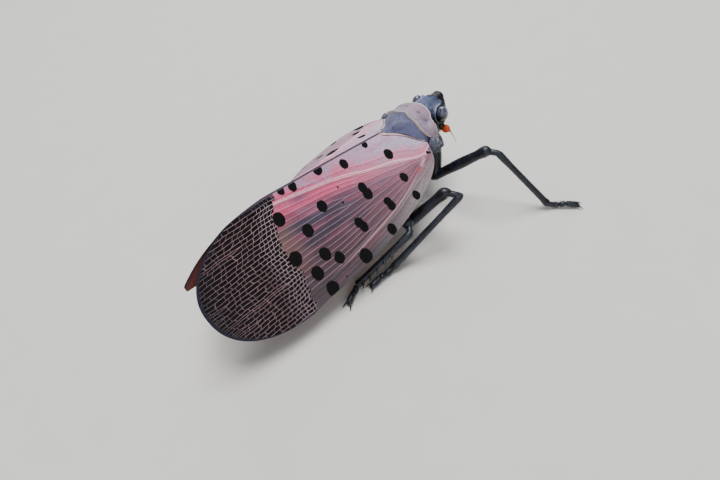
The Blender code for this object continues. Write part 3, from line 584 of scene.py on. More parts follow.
def forewing_finish():
    finish, tree = new_finish("forewing_membrane", 0.45, Specular_IOR_Level=0.2)
    place, along, x = kept(tree, "vein_place")
    rows, rim, spread = kept(tree, "net_place")
    net, spot, down = kept(tree, "wing_marks")
    pale_fold_and_left_sheen, red_root, blotch = kept(tree, "wing_stains_and_sheen")
    hind_gap, inner = kept_one(tree, "hind_gap"), kept_one(tree, "inner_face")
    where = shade("CombineXYZ", x, down, 0.0)
    speckle, cloud = noise(where, 5.0, 4.0), noise(where, 0.7, 3.0)
    streak = noise(shade("CombineXYZ", x * 0.25, place * 16.0, 3.0), 1.0, 3.0)
    gap = use_group(tree, vein_pattern, place, along)[0]

    # The two ramps darken the wing from the ridge down to the front margin: the pink and grey
    # stripes are the wing's own colours, and the darkening down the slope is painted shade.
    base = across_wing(place, [
        (0.0, (206, 174, 200)), (0.06, (190, 178, 204)), (0.12, (210, 144, 170)),
        (0.19, (212, 140, 166)), (0.3, (162, 113, 134)), (0.55, (133, 93, 107)),
        (0.8, (130, 94, 104)), (0.87, (128, 116, 120)), (1.0, (142, 134, 134))])
    outward = across_wing(place, [
        (0.0, (186, 146, 174)), (0.09, (216, 100, 138)), (0.24, (216, 86, 126)),
        (0.31, (130, 76, 96)), (0.37, (70, 64, 80)), (0.48, (66, 58, 73)),
        (0.68, (80, 60, 69)), (0.86, (73, 63, 68)), (1.0, (76, 72, 76))])
    body = tint(step_up(x, 4.5, -3.0), base, outward)
    blue = step_up(cloud, 0.5, 0.62) * (step_up(place, 0.2, 0.1) * 0.5 + 0.2)
    body = tint(blue, body, tint(step_up(place, 0.18, 0.45), (170, 160, 186), (92, 86, 104)))
    flush = step_up(streak, 0.45, 0.7) * (step_up(place, 0.3, 0.6) * -0.25 + 0.4)
    body = tint(flush, body, (206, 106, 134))
    body = tint(blotch, body, (96, 94, 116), 0.75)
    tanned = step_up(net, -2.0, 0.0) * step_up(place, 0.25, 0.4) * step_up(place, 0.8, 0.5)
    body = tint(tanned, body, (128, 96, 84), 0.65)
    width = step_up(along, 0.2, 0.6) * -0.008 + 0.03
    line = step_up(gap / width, 1.15, 0.5) * step_up(place, 0.85, 0.83)
    pale = tint(step_up(place, 0.1, 0.45), (226, 136, 162), (158, 130, 140))
    body = tint(line * (step_up(speckle, 0.3, 0.7) * 0.3 + 0.35), body, pale)
    double = abs(abs(place - 1 / STEMS) - MAIN_VEIN_GAP)
    body = tint(step_up(double, 0.009, 0.003), body, (244, 196, 206), 0.85)
    front_vein = step_up(abs(place - (1 - 1 / STEMS)), 0.014, 0.004) * step_up(x, -6.0, -2.0)
    rosy = tint(step_up(x, 3.8, 5.0), (196, 152, 158), (206, 104, 120))
    body = tint(front_vein, body, rosy, 0.7)
    # The pale fold at the wing's base, and the painted sheen that lightens the left wing.
    body = tint(pale_fold_and_left_sheen, body, (212, 182, 202), 0.8)
    body = tint(red_root, body, (204, 70, 92), 0.8)
    body = tint(step_up(speckle, 0.35, 0.75), body, (80, 62, 78), 0.25)
    near_plate = step_up(x, 4.5, 4.9)
    body = tint(near_plate * step_up(hind_gap, 0.32, 0.26), body, (52, 28, 38))
    body = tint(near_plate * step_up(hind_gap, 0.2, 0.16), body, (238, 204, 196))

    lines = wing_net(rows, spread, rim, net, where)
    thread = tint(step_up(net, 0.5, 2.2), (196, 168, 178), (164, 128, 136))
    thread = tint(step_up(net, 3.5, 6.3), thread, (112, 92, 102))
    cell = tint(step_up(streak, 0.55, 0.85), (2, 2, 4), (30, 12, 18))
    meshwork = tint(step_up(rim, 0.3, 0.16), tint(lines, cell, thread), (34, 34, 48))
    ragged = noise(where, 3.4, 2.0) * 0.9 - 0.45
    in_net = step_up(net + ragged, -0.04, 0.04)
    body = tint(in_net, body, meshwork)
    patch = step_up(down, 0.48, 0.34) * step_up(net, -0.2, -0.1) * step_up(net, 3.4, 2.0)
    body = tint(patch, body, (24, 24, 36), 0.75)

    worn = noise(where, 2.6, 2.0) * 0.16 - 0.08
    dark = step_up(spot + worn, -0.03, 0.02)
    body = tint(dark, body, (3, 3, 5))
    body = tint(step_up(down, 0.13, 0.05) * step_up(x, 5.0, 4.4), body, (88, 76, 90))
    below = tint(in_net, (176, 92, 88), (112, 50, 46))
    body = tint(inner, body, tint(dark, below, (20, 14, 17)))
    grain = lines * in_net * 0.9 + (line * (1.0 - dark) * 0.4 + speckle)
    return dress(finish, Base_Color=body, Roughness=speckle * 0.25 + (dark * 0.35 + 0.34),
                 Normal=bumped(grain, 0.03, 0.8))


forewing_look = forewing_finish()
for label, side in SIDES:
    make_forewing("forewing_" + label, side, forewing_look)

# Hindwings: thin pleated fans folded flat under the forewings, fixed at the rear of the
# thorax. Red at the base with black spots, then a white band, then black at the tip.
HINDWING_X = (4.0, -10.9)
HINDWING_REACH = 0.8
HINDWING_DEPTH, HINDWING_THICK = 0.98, 0.1
HINDWING_ROWS, HINDWING_COLUMNS = 120, 100
PLEATS, PLEAT_RISE = 10, 0.13


def make_hindwing(name, side, finish):
    def corner(along, across):
        bulge = 1 - 0.55 * abs(2 * across - 0.9) ** 2.5
        x = HINDWING_X[0] + along * bulge * (HINDWING_X[1] - HINDWING_X[0])
        top = 1.42 * tan(radians(roof_angle(side, x))) + 0.1
        down = top + across * HINDWING_REACH * (costal_edge(x) - top)
        fold = PLEAT_RISE * cos(2 * pi * across * PLEATS)
        fold *= min(1.0, 3 * along, 6 * (1 - along))
        return (roof_point(side, x, down, HINDWING_DEPTH + fold),
                roof_point(side, x, down, HINDWING_DEPTH + HINDWING_THICK + fold),
                (across, along, x))

    body, (places,) = sheet(HINDWING_ROWS, HINDWING_COLUMNS, corner)
    made = piece(name, body, finish)
    paint(made, "fan_place", places * 2)


def hindwing_finish():
    finish, tree = new_finish("hindwing_membrane", 0.5, Specular_IOR_Level=0.4)
    across, along, x = kept(tree, "fan_place")
    where = shade("CombineXYZ", across * 9.0, x, 0.0)
    dots = shade("TexVoronoi", where, None, 1.1)
    wander = noise(where, 1.3, 2.0)
    line_x = wander * 1.2 + x
    shown = tint(wander, (196, 32, 30), (214, 58, 46))
    shown = tint(step_up(dots, 0.3, 0.24), shown, (20, 16, 20))
    shown = tint(step_up(line_x, -2.6, -2.9), shown, (226, 220, 214))
    shown = tint(step_up(line_x, -4.6, -5.0), shown, (26, 23, 28))
    rib = abs(reckon("FRACT", across * (PLEATS * 2.0)) - 0.5)
    shown = tint(step_up(rib, 0.07, 0.03), shown, (74, 40, 40))
    return dress(finish, Base_Color=shown, Normal=bumped(wander, 0.05, 0.6))


hindwing_look = hindwing_finish()
for label, side in SIDES:
    make_hindwing("hindwing_" + label, side, hindwing_look)

# Abdomen: eight overlapping rings of cuticle, yellow with black bands, tapering to a
# blunt tip. Each ring's rear edge laps over the next.
ABDOMEN_HALF_WIDTH = [(4.0, 1.7), (2.5, 2.15), (0, 2.25), (-3, 1.85), (-5.4, 1.1), (-6.9, 0.3)]
ABDOMEN_HALF_HEIGHT = [(4.0, 1.0), (2.5, 1.35), (0, 1.42), (-3, 1.2), (-5.4, 0.75), (-6.9, 0.25)]
ABDOMEN_AXIS_Z = [(4.0, -1.35), (0, -1.5), (-3, -1.3), (-6.9, -0.75)]
ABDOMEN_SEGMENTS, ABDOMEN_SIDES = 8, 48
RING_PARTS = (0.0, 0.03, 0.12, 0.3, 0.5, 0.7, 0.85, 0.94, 0.985)
RING_LAP = 0.12
TIP_RINGS = ((0, 0.26), (-0.06, 0.16))


def loft(rings):
    """Closed body through rings of equal count, with a rounded point at each end."""
    count = len(rings[0])
    verts = [Vector(v) for ring in rings for v in ring]
    faces = []
    for i in range(len(rings) - 1):
        for j in range(count):
            a, b = i * count + j, i * count + (j + 1) % count
            faces.append((a, b, b + count, a + count))
    for base, ring in ((0, rings[0]), ((len(rings) - 1) * count, rings[-1])):
        verts.append(sum((Vector(v) for v in ring), Vector()) / count)
        for j in range(count):
            faces.append((base + j, base + (j + 1) % count, len(verts) - 1))
    return verts, faces


def oval_ring(x, half_width, top, bottom, sides, power=1.0):
    z = (top + bottom) / 2
    ring = []
    for k in range(sides):
        a = 2 * pi * (k + 0.5) / sides
        s, c = sin(a), cos(a)
        ring.append((x, half_width * copysign(abs(s) ** power, s),
                     z + (top - bottom) / 2 * copysign(abs(c) ** power, c)))
    return ring


def make_abdomen(finish):
    rings, places = [], []
    ups = [cos(2 * pi * (j + 0.5) / ABDOMEN_SIDES) for j in range(ABDOMEN_SIDES)]
    front, rear = ABDOMEN_HALF_WIDTH[0][0], ABDOMEN_HALF_WIDTH[-1][0]
    segment = (front - rear) / ABDOMEN_SEGMENTS
    for k in range(ABDOMEN_SEGMENTS):
        for part in RING_PARTS:
            x = front - (k + part) * segment
            swollen = RING_LAP * (soft(0.0, 0.5, part) - 1.3 * soft(0.94, 1.0, part)) - 0.04
            z, h = curve(ABDOMEN_AXIS_Z, x), curve(ABDOMEN_HALF_HEIGHT, x) + swollen
            rings.append(oval_ring(x, curve(ABDOMEN_HALF_WIDTH, x) + swollen, z + h, z - h,
                                   ABDOMEN_SIDES))
            places += [(part, float(k), up) for up in ups]
    tip_z = ABDOMEN_AXIS_Z[-1][1]
    for further, half in TIP_RINGS:
        rings.append(oval_ring(rear + further, half, tip_z + half, tip_z - half, ABDOMEN_SIDES))
        places += [(0.9, 7.0, up) for up in ups]
    made = piece("abdomen", loft(rings), finish, sharp=50)
    paint(made, "ring_place", places + [(0.0, 0.0, 0.0), (1.0, 7.0, 0.0)])


def abdomen_finish():
    finish, tree = new_finish("abdomen_cuticle", 0.42)
    part, ring, up = kept(tree, "ring_place")
    fine, broad = noise(on_model(tree), 2600.0, 4.0), noise(on_model(tree), 700.0, 2.0)
    reach = abs(up) * 0.75 + (broad * 0.3 - 0.22)
    band = step_up(reach - part, -0.04, 0.04) * step_up(abs(up), 0.25, 0.4)
    skin = tint(fine, (206, 158, 48), (228, 188, 84))
    skin = tint(step_up(ring, 5.5, 6.5), skin, (176, 60, 40))
    shown = tint(band, skin, tint(fine, (24, 22, 26), (48, 46, 54)))
    return dress(finish, Base_Color=shown, Normal=bumped(fine, 0.04, 0.7))


make_abdomen(abdomen_finish())

# Thorax: the hard box under the back plates that carries wings and legs. Slate skin in
# plates with sunk joints between them, dulled by a pale wax.
THORAX_TOP = [(3.9, 0.2), (4.3, 0.5), (5.2, 0.95), (6.5, 1.2), (8.0, 1.25), (9.3, 0.85),
              (9.95, 0.6)]
THORAX_UPPER_HALF = [(3.9, 1.3), (5.2, 1.75), (8.0, 1.8), (9.3, 1.4), (9.95, 0.9)]
THORAX_LOWER_HALF = [(3.9, 1.6), (5.5, 2.2), (7.2, 2.5), (8.5, 2.55), (9.1, 2.15), (9.5, 1.5),
                     (9.95, 0.9)]
THORAX_KEEL = [(3.9, -2.3), (6.5, -2.6), (8.4, -2.4), (9.3, -1.8), (9.95, -1.2)]
THORAX_REAR, THORAX_LENGTH, THORAX_RINGS, QUARTER_STEPS = 3.9, 6.05, 70, 22
THORAX_LEDGE = -0.78
PLATE_JOINTS = (5.25, 6.55, 7.75, 8.75)
JOINT_DEPTH, JOINT_WIDTH = 0.2, 0.12
WAX_SOCKETS = (("Skin", "Color"), ("Wax", "Color"), ("Amount", "Float"), ("Scale", "Float"))


def wax_group():
    """Group: pale wax lying in patches over a darker skin, and the height of its crumbs."""
    group, (skin, wax, amount, scale) = new_group(
        "waxy_bloom", WAX_SOCKETS, (("Colour", "Color"), ("Height", "Float"), ("Cover", "Float")))
    broad = noise(on_model(group), scale, 3.0, 0.6)
    fine = noise(on_model(group), scale * 6.0, 4.0, 0.7)
    cover = step_up(fine * 0.5 + broad * 0.5, 0.38, 0.62) * amount
    fill(group.nodes.new("NodeGroupOutput"), [tint(cover, skin, wax), fine, cover])
    return group


waxy_bloom = wax_group()


def swell(made, lift):
    """Moves a piece's skin out or in by lift(x, y, z), in the trunk's millimetres."""
    away = trunk_place.inverted()
    mesh = made.data
    normals = [v.normal.copy() for v in mesh.vertices]
    for v, normal in zip(mesh.vertices, normals):
        x, y, z = (away @ v.co) / MM
        v.co += normal * lift(x, y, z) * MM
    mesh.update()


def thorax_ring(x):
    top, keel = curve(THORAX_TOP, x), curve(THORAX_KEEL, x)
    upper, lower = curve(THORAX_UPPER_HALF, x), curve(THORAX_LOWER_HALF, x)
    turns = [pi / 2 * k / QUARTER_STEPS for k in range(QUARTER_STEPS + 1)]
    profile = [(upper * sin(a) ** 1.15,
                THORAX_LEDGE + (top - THORAX_LEDGE) * cos(a) ** 1.15) for a in turns]
    profile += [(lower * cos(a),
                 THORAX_LEDGE - 0.04 + (keel - THORAX_LEDGE) * sin(a)) for a in turns]
    left_half, right_half = [[(x, side * y, z) for y, z in profile[1:-1]] for side in (1, -1)]
    return [(x, 0, profile[0][1])] + left_half + [(x, 0, profile[-1][1])] + right_half[::-1]


def side_plates(x, y, z):
    """The plates' swell, sunk along the joints between them."""
    if z > THORAX_LEDGE + 0.3:
        return 0.0
    lean = x + 0.45 * (z + 1.5)
    lift = 0.16 + 0.2 * hump(hypot(x - 8.7, (z + 0.95) * 0.7), 0.6)
    for joint in PLATE_JOINTS:
        lift -= JOINT_DEPTH * hump(lean - joint, JOINT_WIDTH)
    lift -= 0.15 * hump(z + 1.75, 0.1) * soft(0.8, 1.4, abs(y))
    lift += 0.03 * sin(5 * x + 3 * z)
    return lift * soft(THORAX_LEDGE + 0.3, THORAX_LEDGE, z)


def slate_finish(name, skin, wax, amount, scale=900.0, rough=0.5):
    finish, tree = new_finish(name, rough, Specular_IOR_Level=0.4)
    shown, crumbs, cover = use_group(tree, waxy_bloom, skin, wax, amount, scale)
    return dress(finish, Base_Color=shown, Normal=bumped(crumbs, 0.035, 0.8),
                 Roughness=cover * 0.3 + (rough - 0.08))


slate_look = slate_finish("slate_cuticle", (28, 32, 42), (108, 116, 138), 0.8)
rings = [thorax_ring(THORAX_REAR + THORAX_LENGTH * i / THORAX_RINGS)
         for i in range(THORAX_RINGS + 1)]
swell(piece("thorax", loft(rings), slate_look), side_plates)

# Pronotum: the collar plate behind the head, a saddle of pinkish cuticle with a low keel,
# pale raised margins and two pairs of small pits.
TRUNK_HALF_WIDTH = [(3.6, 2.3), (5.0, 2.4), (6.3, 2.55), (7.6, 2.6), (8.8, 2.5), (9.6, 2.05)]
TRUNK_TOP = [(3.6, 1.95), (5.0, 2.0), (6.3, 2.06), (7.6, 2.06), (8.8, 1.88), (9.6, 1.55)]
TRUNK_AXIS_Z = -0.6
PLATE, PLATE_LEAN = 0.62, 0.3
PRONOTUM_FRONT = [(-28, 9.33), (0, 9.6), (28, 9.33), (41, 8.9), (54, 8.86), (68, 8.6), (84, 8.5)]
PRONOTUM_REAR = [(-15, 7.5), (0, 7.68), (15, 7.5), (37, 7.5), (60, 7.78), (73, 8.16), (84, 8.32)]
PRONOTUM_REACH = 84
PITS = ((8.52, 15.5, 0.11), (8.45, 37, 0.24))
MM_PER_DEGREE = 0.042


def trunk_point(x, degrees, inset=0.0):
    a = curve(TRUNK_HALF_WIDTH, x) - inset
    b = curve(TRUNK_TOP, x) - TRUNK_AXIS_Z - inset
    t = radians(degrees)
    return (x, a * sin(t), TRUNK_AXIS_Z + b * cos(t))


def make_plate(name, spot_of, lift_of, columns, rows, finish):
    """A back plate from a grid; spot_of gives x and degrees, lift_of the skin's relief."""
    def corner(u, across):
        w = 2 * across - 1
        x, degrees = spot_of(u, w)
        edge = min(u, 1 - u, (1 - abs(w)) * 1.5)
        lift, mark = lift_of(x, degrees, u, w, edge)
        # The under skin is given mark 1 and edge 0.5; on the pronotum, mark 1 paints its walls dark
        # slate as painted shade.
        return (trunk_point(x, degrees, -lift),
                trunk_point(x - PLATE_LEAN * soft(0.75, 1.0, u), degrees, PLATE),
                (mark, edge, degrees), (1.0, 0.5, degrees))

    body, (marks, under) = sheet(rows, columns, corner)
    paint(piece(name, body, finish), "plate_marks", marks + under)


def pronotum_spot(u, w):
    degrees = w * PRONOTUM_REACH
    low = curve(PRONOTUM_REAR, abs(degrees)) - 0.12
    high = curve(PRONOTUM_FRONT, abs(degrees)) + 0.05
    return low + (high - low) * u, degrees


def pronotum_lift(x, degrees, u, w, edge):
    off = [(x - px, (abs(degrees) - pd) * MM_PER_DEGREE, width) for px, pd, width in PITS]
    pit, wide = (sum(hump(hypot(dx, dy), width * times) for dx, dy, width in off)
                 for times in (1, 2.2))
    rim = hump(edge - 0.04, 0.03)
    lift = 0.035 * hump(degrees, 3) + 0.07 * rim - 0.09 * pit - 0.06 * wide
    lift += 0.03 * sin(3.1 * x + degrees * 0.11) - 0.2 * max(0.0, 0.03 - edge) / 0.03
    return lift, min(1.0, max(pit, 0.4 * wide))


def pronotum_finish():
    finish, tree = new_finish("pronotum_cuticle", 0.55, Specular_IOR_Level=0.35)
    mark, edge, degrees = kept(tree, "plate_marks")
    shown, crumbs, _ = use_group(tree, waxy_bloom, (130, 118, 138), (174, 162, 182), 0.9, 700.0)
    broad = noise(on_model(tree), 420.0, 3.0)
    shown = tint(step_up(broad, 0.45, 0.65), shown, (150, 112, 124), 0.5)
    # Dark slate in the pits, and over the under skin, where it is painted shade on the plate's
    # walls.
    shown = tint(mark, shown, (78, 74, 94), 0.8)
    shown = tint(step_up(abs(degrees), 62.0, 80.0), shown, (150, 152, 168), 0.35)
    shown = tint(step_up(edge, 0.085, 0.05), shown, (214, 200, 188), 0.85)
    shown = tint(step_up(abs(degrees), 1.8, 0.4), shown, (196, 180, 182), 0.3)
    shown = tint(step_up(crumbs, 0.64, 0.72), shown, (84, 74, 84))
    return dress(finish, Base_Color=shown, Normal=bumped(crumbs, 0.035, 0.8))


make_plate("pronotum", pronotum_spot, pronotum_lift, 200, 60, pronotum_finish())

# Mesonotum: the slate shield between the wing bases, ending behind in a point. Three low
# keels run back over it, and pale specks of wax lie in its hollows.
MESONOTUM_REACH = [(4.95, 4), (5.6, 12.5), (6.3, 28), (6.85, 50), (7.1, 60), (7.5, 70)]
MESONOTUM_SIDE_DROP = [(4.95, 0.02), (5.5, 0.2), (6.0, 0.4), (7.0, 0.34), (7.5, 0.2)]
SCUTELLUM_TIP = 4.95


def mesonotum_spot(u, w):
    start = curve(PRONOTUM_REAR, abs(w) * MESONOTUM_REACH[-1][1]) - 0.1
    x = SCUTELLUM_TIP + (start - SCUTELLUM_TIP) * u
    return x, w * (curve(MESONOTUM_REACH, x) + 1.5)


def mesonotum_lift(x, degrees, u, w, edge):
    keels = hump(degrees, 2.5) * 0.5 + 0.6 * hump(abs(degrees) - 15 - 5 * (x - 6.4), 3.0)
    hollow = hump(x - 5.5, 0.3) * hump(w, 0.6)
    lift = 0.025 * keels * soft(0.0, 0.1, edge) - 0.1 * hollow
    lift += 0.02 * sin(6 * x + 0.2 * degrees)
    lift -= curve(MESONOTUM_SIDE_DROP, x) * soft(0.1, 1.0, abs(w))
    return lift - 0.05 * soft(0.9, 1.0, u), keels


def mesonotum_finish():
    finish, tree = new_finish("mesonotum_cuticle", 0.5, Specular_IOR_Level=0.4)
    mark, edge, degrees = kept(tree, "plate_marks")
    shown, crumbs, _ = use_group(tree, waxy_bloom, (54, 56, 84), (88, 90, 128), 0.85, 800.0)
    shown = tint(mark, shown, (128, 128, 156), 0.22)
    # Painted light: the sides of the shield, which slope away from the light, are lightened to even
    # out their shading.
    shown = tint(step_up(abs(degrees), 10.0, 34.0), shown, (116, 120, 158), 0.45)
    shown = tint(step_up(crumbs, 0.66, 0.73), shown, (178, 178, 194))
    shown = tint(step_up(edge, 0.04, 0.0), shown, (58, 54, 68), 0.4)
    return dress(finish, Base_Color=shown, Normal=bumped(crumbs, 0.035, 0.8))


make_plate("mesonotum", mesonotum_spot, mesonotum_lift, 120, 90, mesonotum_finish())

# Tegulae: small rounded scales over the wing hinges, slate dulled by wax, each with a
# low slanting keel.
TEGULA_CENTRE, TEGULA_HALF_SIZE = (7.78, 2.62, -0.05), (0.44, 0.32, 0.6)


def ball(centre, half, sides, rings):
    """Closed rounded body; half is its half size along x, y and z."""
    centre = Vector(centre)
    rows = []
    for i in range(1, rings):
        a = pi * i / rings
        rows.append([centre + Vector((half[0] * sin(a) * cos(b),
                                      half[1] * sin(a) * sin(b), half[2] * cos(a)))
                     for b in (2 * pi * k / sides for k in range(sides))])
    verts, faces = loft(rows)
    verts[-2], verts[-1] = centre + Vector((0, 0, half[2])), centre - Vector((0, 0, half[2]))
    return verts, faces


def on_side(place, side):
    """A place on the left of the trunk, taken to the side asked for."""
    return Vector((place[0], side * place[1], place[2]))


def tegula_relief(x, y, z):
    return 0.05 * hump(x - TEGULA_CENTRE[0] - 0.3 * z, 0.12) - 0.04 * soft(0.1, -0.4, z)


tegula_look = slate_finish("tegula_cuticle", (62, 68, 84), (128, 136, 154), 0.85)
for label, side in SIDES:
    scale = ball(on_side(TEGULA_CENTRE, side), TEGULA_HALF_SIZE, 32, 24)
    swell(piece("tegula_" + label, scale, tegula_look), tegula_relief)

# Head: a short box with a flat crown, sharp pale edges, a blunt black knob turned up in
# front and a keeled face that runs down and back to the mouthparts.
HEAD_HALF_WIDTH = [(9.55, 0.7), (9.75, 1.0), (10.1, 1.25), (10.6, 1.28), (11.1, 1.2),
                   (11.45, 1.0), (11.7, 0.62), (11.88, 0.42), (12.0, 0.22)]
HEAD_TOP = [(9.55, 1.15), (9.9, 1.34), (10.1, 1.38), (10.6, 1.38), (11.1, 1.32), (11.45, 1.3),
            (11.7, 1.4), (11.88, 1.34), (12.0, 1.18)]
HEAD_BOTTOM = [(9.55, -1.0), (9.9, -1.4), (10.1, -1.9), (10.6, -2.1), (11.1, -1.6),
               (11.45, -0.85), (11.7, 0.1), (11.88, 0.55), (12.0, 0.85)]
HEAD_REAR, HEAD_FRONT, HEAD_RINGS, HEAD_SIDES, HEAD_SQUARENESS = 9.55, 12.0, 90, 112, 0.82
EYE_HALF_SIZE, EYE_RAISED = (0.52, 0.47, 0.72), 0.12
SOCKET_HALF_SIZE = (0.66, 0.62, 0.88)


def eye_ring(x, y, z):
    """1 on the rim of the eye's socket, less inside it."""
    return sqrt(((x - EYE_CENTRE[0]) / SOCKET_HALF_SIZE[0]) ** 2
                     + ((abs(y) - EYE_CENTRE[1]) / SOCKET_HALF_SIZE[1]) ** 2
                     + ((z - EYE_CENTRE[2] - EYE_RAISED) / SOCKET_HALF_SIZE[2]) ** 2)


def crown_edge(x, y):
    """1 along the sharp edge of the crown on either side."""
    return hump(abs(y) - 0.95 + 0.25 * (x - 10.5), 0.09)


def head_relief(x, y, z):
    crown = soft(0.7, 1.1, z) * soft(11.9, 11.5, x) * soft(9.8, 10.1, x)
    side_keel = crown_edge(x, y) * soft(11.45, 11.0, x)
    lift = crown * (0.09 * hump(y, 0.07) + 0.14 * side_keel - 0.1 * hump(abs(y) - 0.5, 0.3))
    face = soft(10.9, 11.3, x) * soft(1.1, 0.6, z) + soft(-0.6, -1.2, z) * soft(10.2, 10.7, x)
    lift += min(1.0, face) * (0.08 * hump(y, 0.06) + 0.09 * hump(abs(y) - 0.55, 0.07)
                              - 0.05 * hump(abs(y) - 0.28, 0.14))
    lift += 0.1 * hump(hypot(x - 11.42, y * 0.7, z - 1.3), 0.42)
    lift -= 0.08 * crown * hump(x - 11.08, 0.08)
    socket = eye_ring(x, y, z)
    lift += 0.14 * hump(socket - 1.05, 0.12) - 0.25 * soft(1.0, 0.75, socket)
    return lift - 0.05 * hump(z + 1.25 - 0.5 * (x - 10.7), 0.06)


def head_mark(x, y, z):
    """How black the skin is at a place on the head, and how pale its edges are."""
    knob = soft(11.12, 11.24, x) * soft(0.6, 1.0, z)
    cheek = soft(10.95, 11.15, x) * soft(0.72, 0.9, abs(y)) + soft(0.7, 0.3, z)
    rim = hump(eye_ring(x, y, z) - 1.08, 0.1) * soft(-0.2, 0.4, z) * soft(10.75, 10.5, x)
    keel = hump(abs(y) - 0.55, 0.05) * soft(0.5, -0.2, z) * soft(10.9, 11.2, x)
    edge = crown_edge(x, y) * soft(0.8, 1.1, z) * soft(11.0, 10.7, x)
    return min(1.0, knob + cheek), max(edge, 0.5 * rim, 0.35 * keel), 0.0


def head_finish():
    finish, tree = new_finish("head_cuticle", 0.45, Specular_IOR_Level=0.38)
    tone, pale, _ = kept(tree, "head_marks")
    shown, crumbs, _ = use_group(tree, waxy_bloom, (38, 48, 74), (78, 92, 132), 0.8, 900.0)
    shown = tint(tone, shown, (10, 10, 15))
    shown = tint(pale, shown, (166, 170, 188), 0.75)
    shown = tint(step_up(crumbs, 0.68, 0.74), shown, (150, 156, 176))
    return dress(finish, Base_Color=shown, Normal=bumped(crumbs, 0.03, 0.8),
                 Roughness=tone * -0.2 + 0.48)


rings = []
for i in range(HEAD_RINGS + 1):
    x = HEAD_REAR + (HEAD_FRONT - HEAD_REAR) * soft(0, 1, i / HEAD_RINGS)
    rings.append(oval_ring(x, curve(HEAD_HALF_WIDTH, x), curve(HEAD_TOP, x),
                           curve(HEAD_BOTTOM, x), HEAD_SIDES, HEAD_SQUARENESS))
head = piece("head", loft(rings), head_finish())
swell(head, head_relief)
away = trunk_place.inverted()
paint(head, "head_marks", [head_mark(*((away @ v.co) / MM)) for v in head.data.vertices])

# Eyes: dark domed eyes of many small lenses, with a clear shine, set in pale rims. Below a
# height each is painted black, a painted shade beneath the pale blue-grey upper part; that
# height and the step to it are in metres.
EYE_SHADE_BELOW, EYE_SHADE_STEP = eyes_middle.z + 0.0004, 0.0004


def eye_finish():
    finish, tree = new_finish("eye_lens", 0.16, Coat_Weight=0.6, Coat_Roughness=0.08,
                              Specular_IOR_Level=0.6)
    cells = shade("TexVoronoi", on_model(tree), None, 16000.0)
    shown = tint(noise(on_model(tree), 1500.0, 3.0), (20, 22, 32), (64, 70, 94))
    shown = tint(step_up(cells, 0.45, 0.6), shown, (96, 104, 130))
    height = apart(on_model(tree))[2]
    # Painted shade: each eye turns black below a height.
    shown = tint(step_up(height, EYE_SHADE_BELOW, EYE_SHADE_BELOW - EYE_SHADE_STEP), shown, (8, 8, 11))
    return dress(finish, Base_Color=shown, Normal=bumped(cells, 0.012, 0.35))


eye_look = eye_finish()
for label, side in SIDES:
    centre = on_side((EYE_CENTRE[0], EYE_CENTRE[1], EYE_CENTRE[2] + EYE_RAISED), side)
    piece("eye_" + label, ball(centre, EYE_HALF_SIZE, 64, 48), eye_look)

# Antennae: under each eye a black foot, a swollen orange bulb beaded with small sense
# organs, and a short black bristle.
BULB_CENTRE, BULB_RADIUS, BULB_STRETCH = (10.62, 1.56, -1.08), 0.35, 1.12
BULB_WAY, BRISTLE_WAY, BRISTLE_LENGTH = (0.3, 0.85, -0.42), (0.1, 0.45, -0.9), 1.3


def tube(route, radius, sides):
    """Closed tube along a route; radius is a function of the part of the length passed."""
    route = [Vector(p) for p in route]
    lengths = [0.0]
    for a, b in zip(route, route[1:]):
        lengths.append(lengths[-1] + (b - a).length)
    side, rings = None, []
    for i, p in enumerate(route):
        ahead = (route[min(i + 1, len(route) - 1)] - route[max(i - 1, 0)]).normalized()
        side = ahead.cross(Vector((0, 0, 1))) if side is None else side
        side = (side - ahead * side.dot(ahead)).normalized()
        above = side.cross(ahead)
        r = radius(lengths[i] / lengths[-1])
        rings.append([p + (side * cos(a) + above * sin(a)) * r
                      for a in (2 * pi * k / sides for k in range(sides))])
    return loft(rings)


def gather(*bodies):
    """Several closed bodies as one list of corners and faces."""
    verts, faces = [], []
    for more_verts, more_faces in bodies:
        start = len(verts)
        verts += list(more_verts)
        faces += [tuple(start + k for k in face) for face in more_faces]
    return verts, faces


def antenna_finish():
    finish, tree = new_finish("antenna_bulb", 0.42, Specular_IOR_Level=0.45,
                              Subsurface_Weight=0.08, Subsurface_Scale=0.0003)
    beads = shade("TexVoronoi", on_model(tree), None, 7000.0)
    dark = kept_one(tree, "dark")
    shown = tint(dark, tint(beads, (236, 92, 14), (180, 48, 6)), (20, 18, 22))
    return dress(finish, Base_Color=shown, Normal=bumped(beads * (1.0 - dark), -0.04, 0.9))


antenna_look = antenna_finish()
for label, side in SIDES:
    bulb = on_side(BULB_CENTRE, side)
    out_way, bristle = (on_side(way, side).normalized() for way in (BULB_WAY, BRISTLE_WAY))
    lean = out_way.to_track_quat("Z", "Y")
    verts, faces = ball((0, 0, 0), (BULB_RADIUS, BULB_RADIUS, BULB_RADIUS * BULB_STRETCH), 56, 40)
    swollen = ([bulb + lean @ Vector(v) for v in verts], faces)
    foot = tube([bulb - out_way * far for far in (0.75, 0.5, 0.38, 0.2)],
                lambda s: 0.26 + 0.05 * sin(pi * s), 28)
    neck = bulb + out_way * BULB_RADIUS * 1.05
    nub = tube([neck - out_way * 0.1, neck, neck + out_way * 0.1], lambda s: 0.12 - 0.05 * s, 20)
    tip = neck + bristle * BRISTLE_LENGTH
    route = [neck.lerp(tip, k / 12) + out_way * 0.12 * sin(pi * k / 12)
             for k in range(13)]
    hair = tube(route, lambda s: 0.04 * (1 - 0.7 * s), 10)
    body = gather(swollen, foot, nub, hair)
    made = piece("antenna_" + label, body, antenna_look)
    paint(made, "dark", [0.0] * len(verts) + [1.0] * (len(body[0]) - len(verts)))

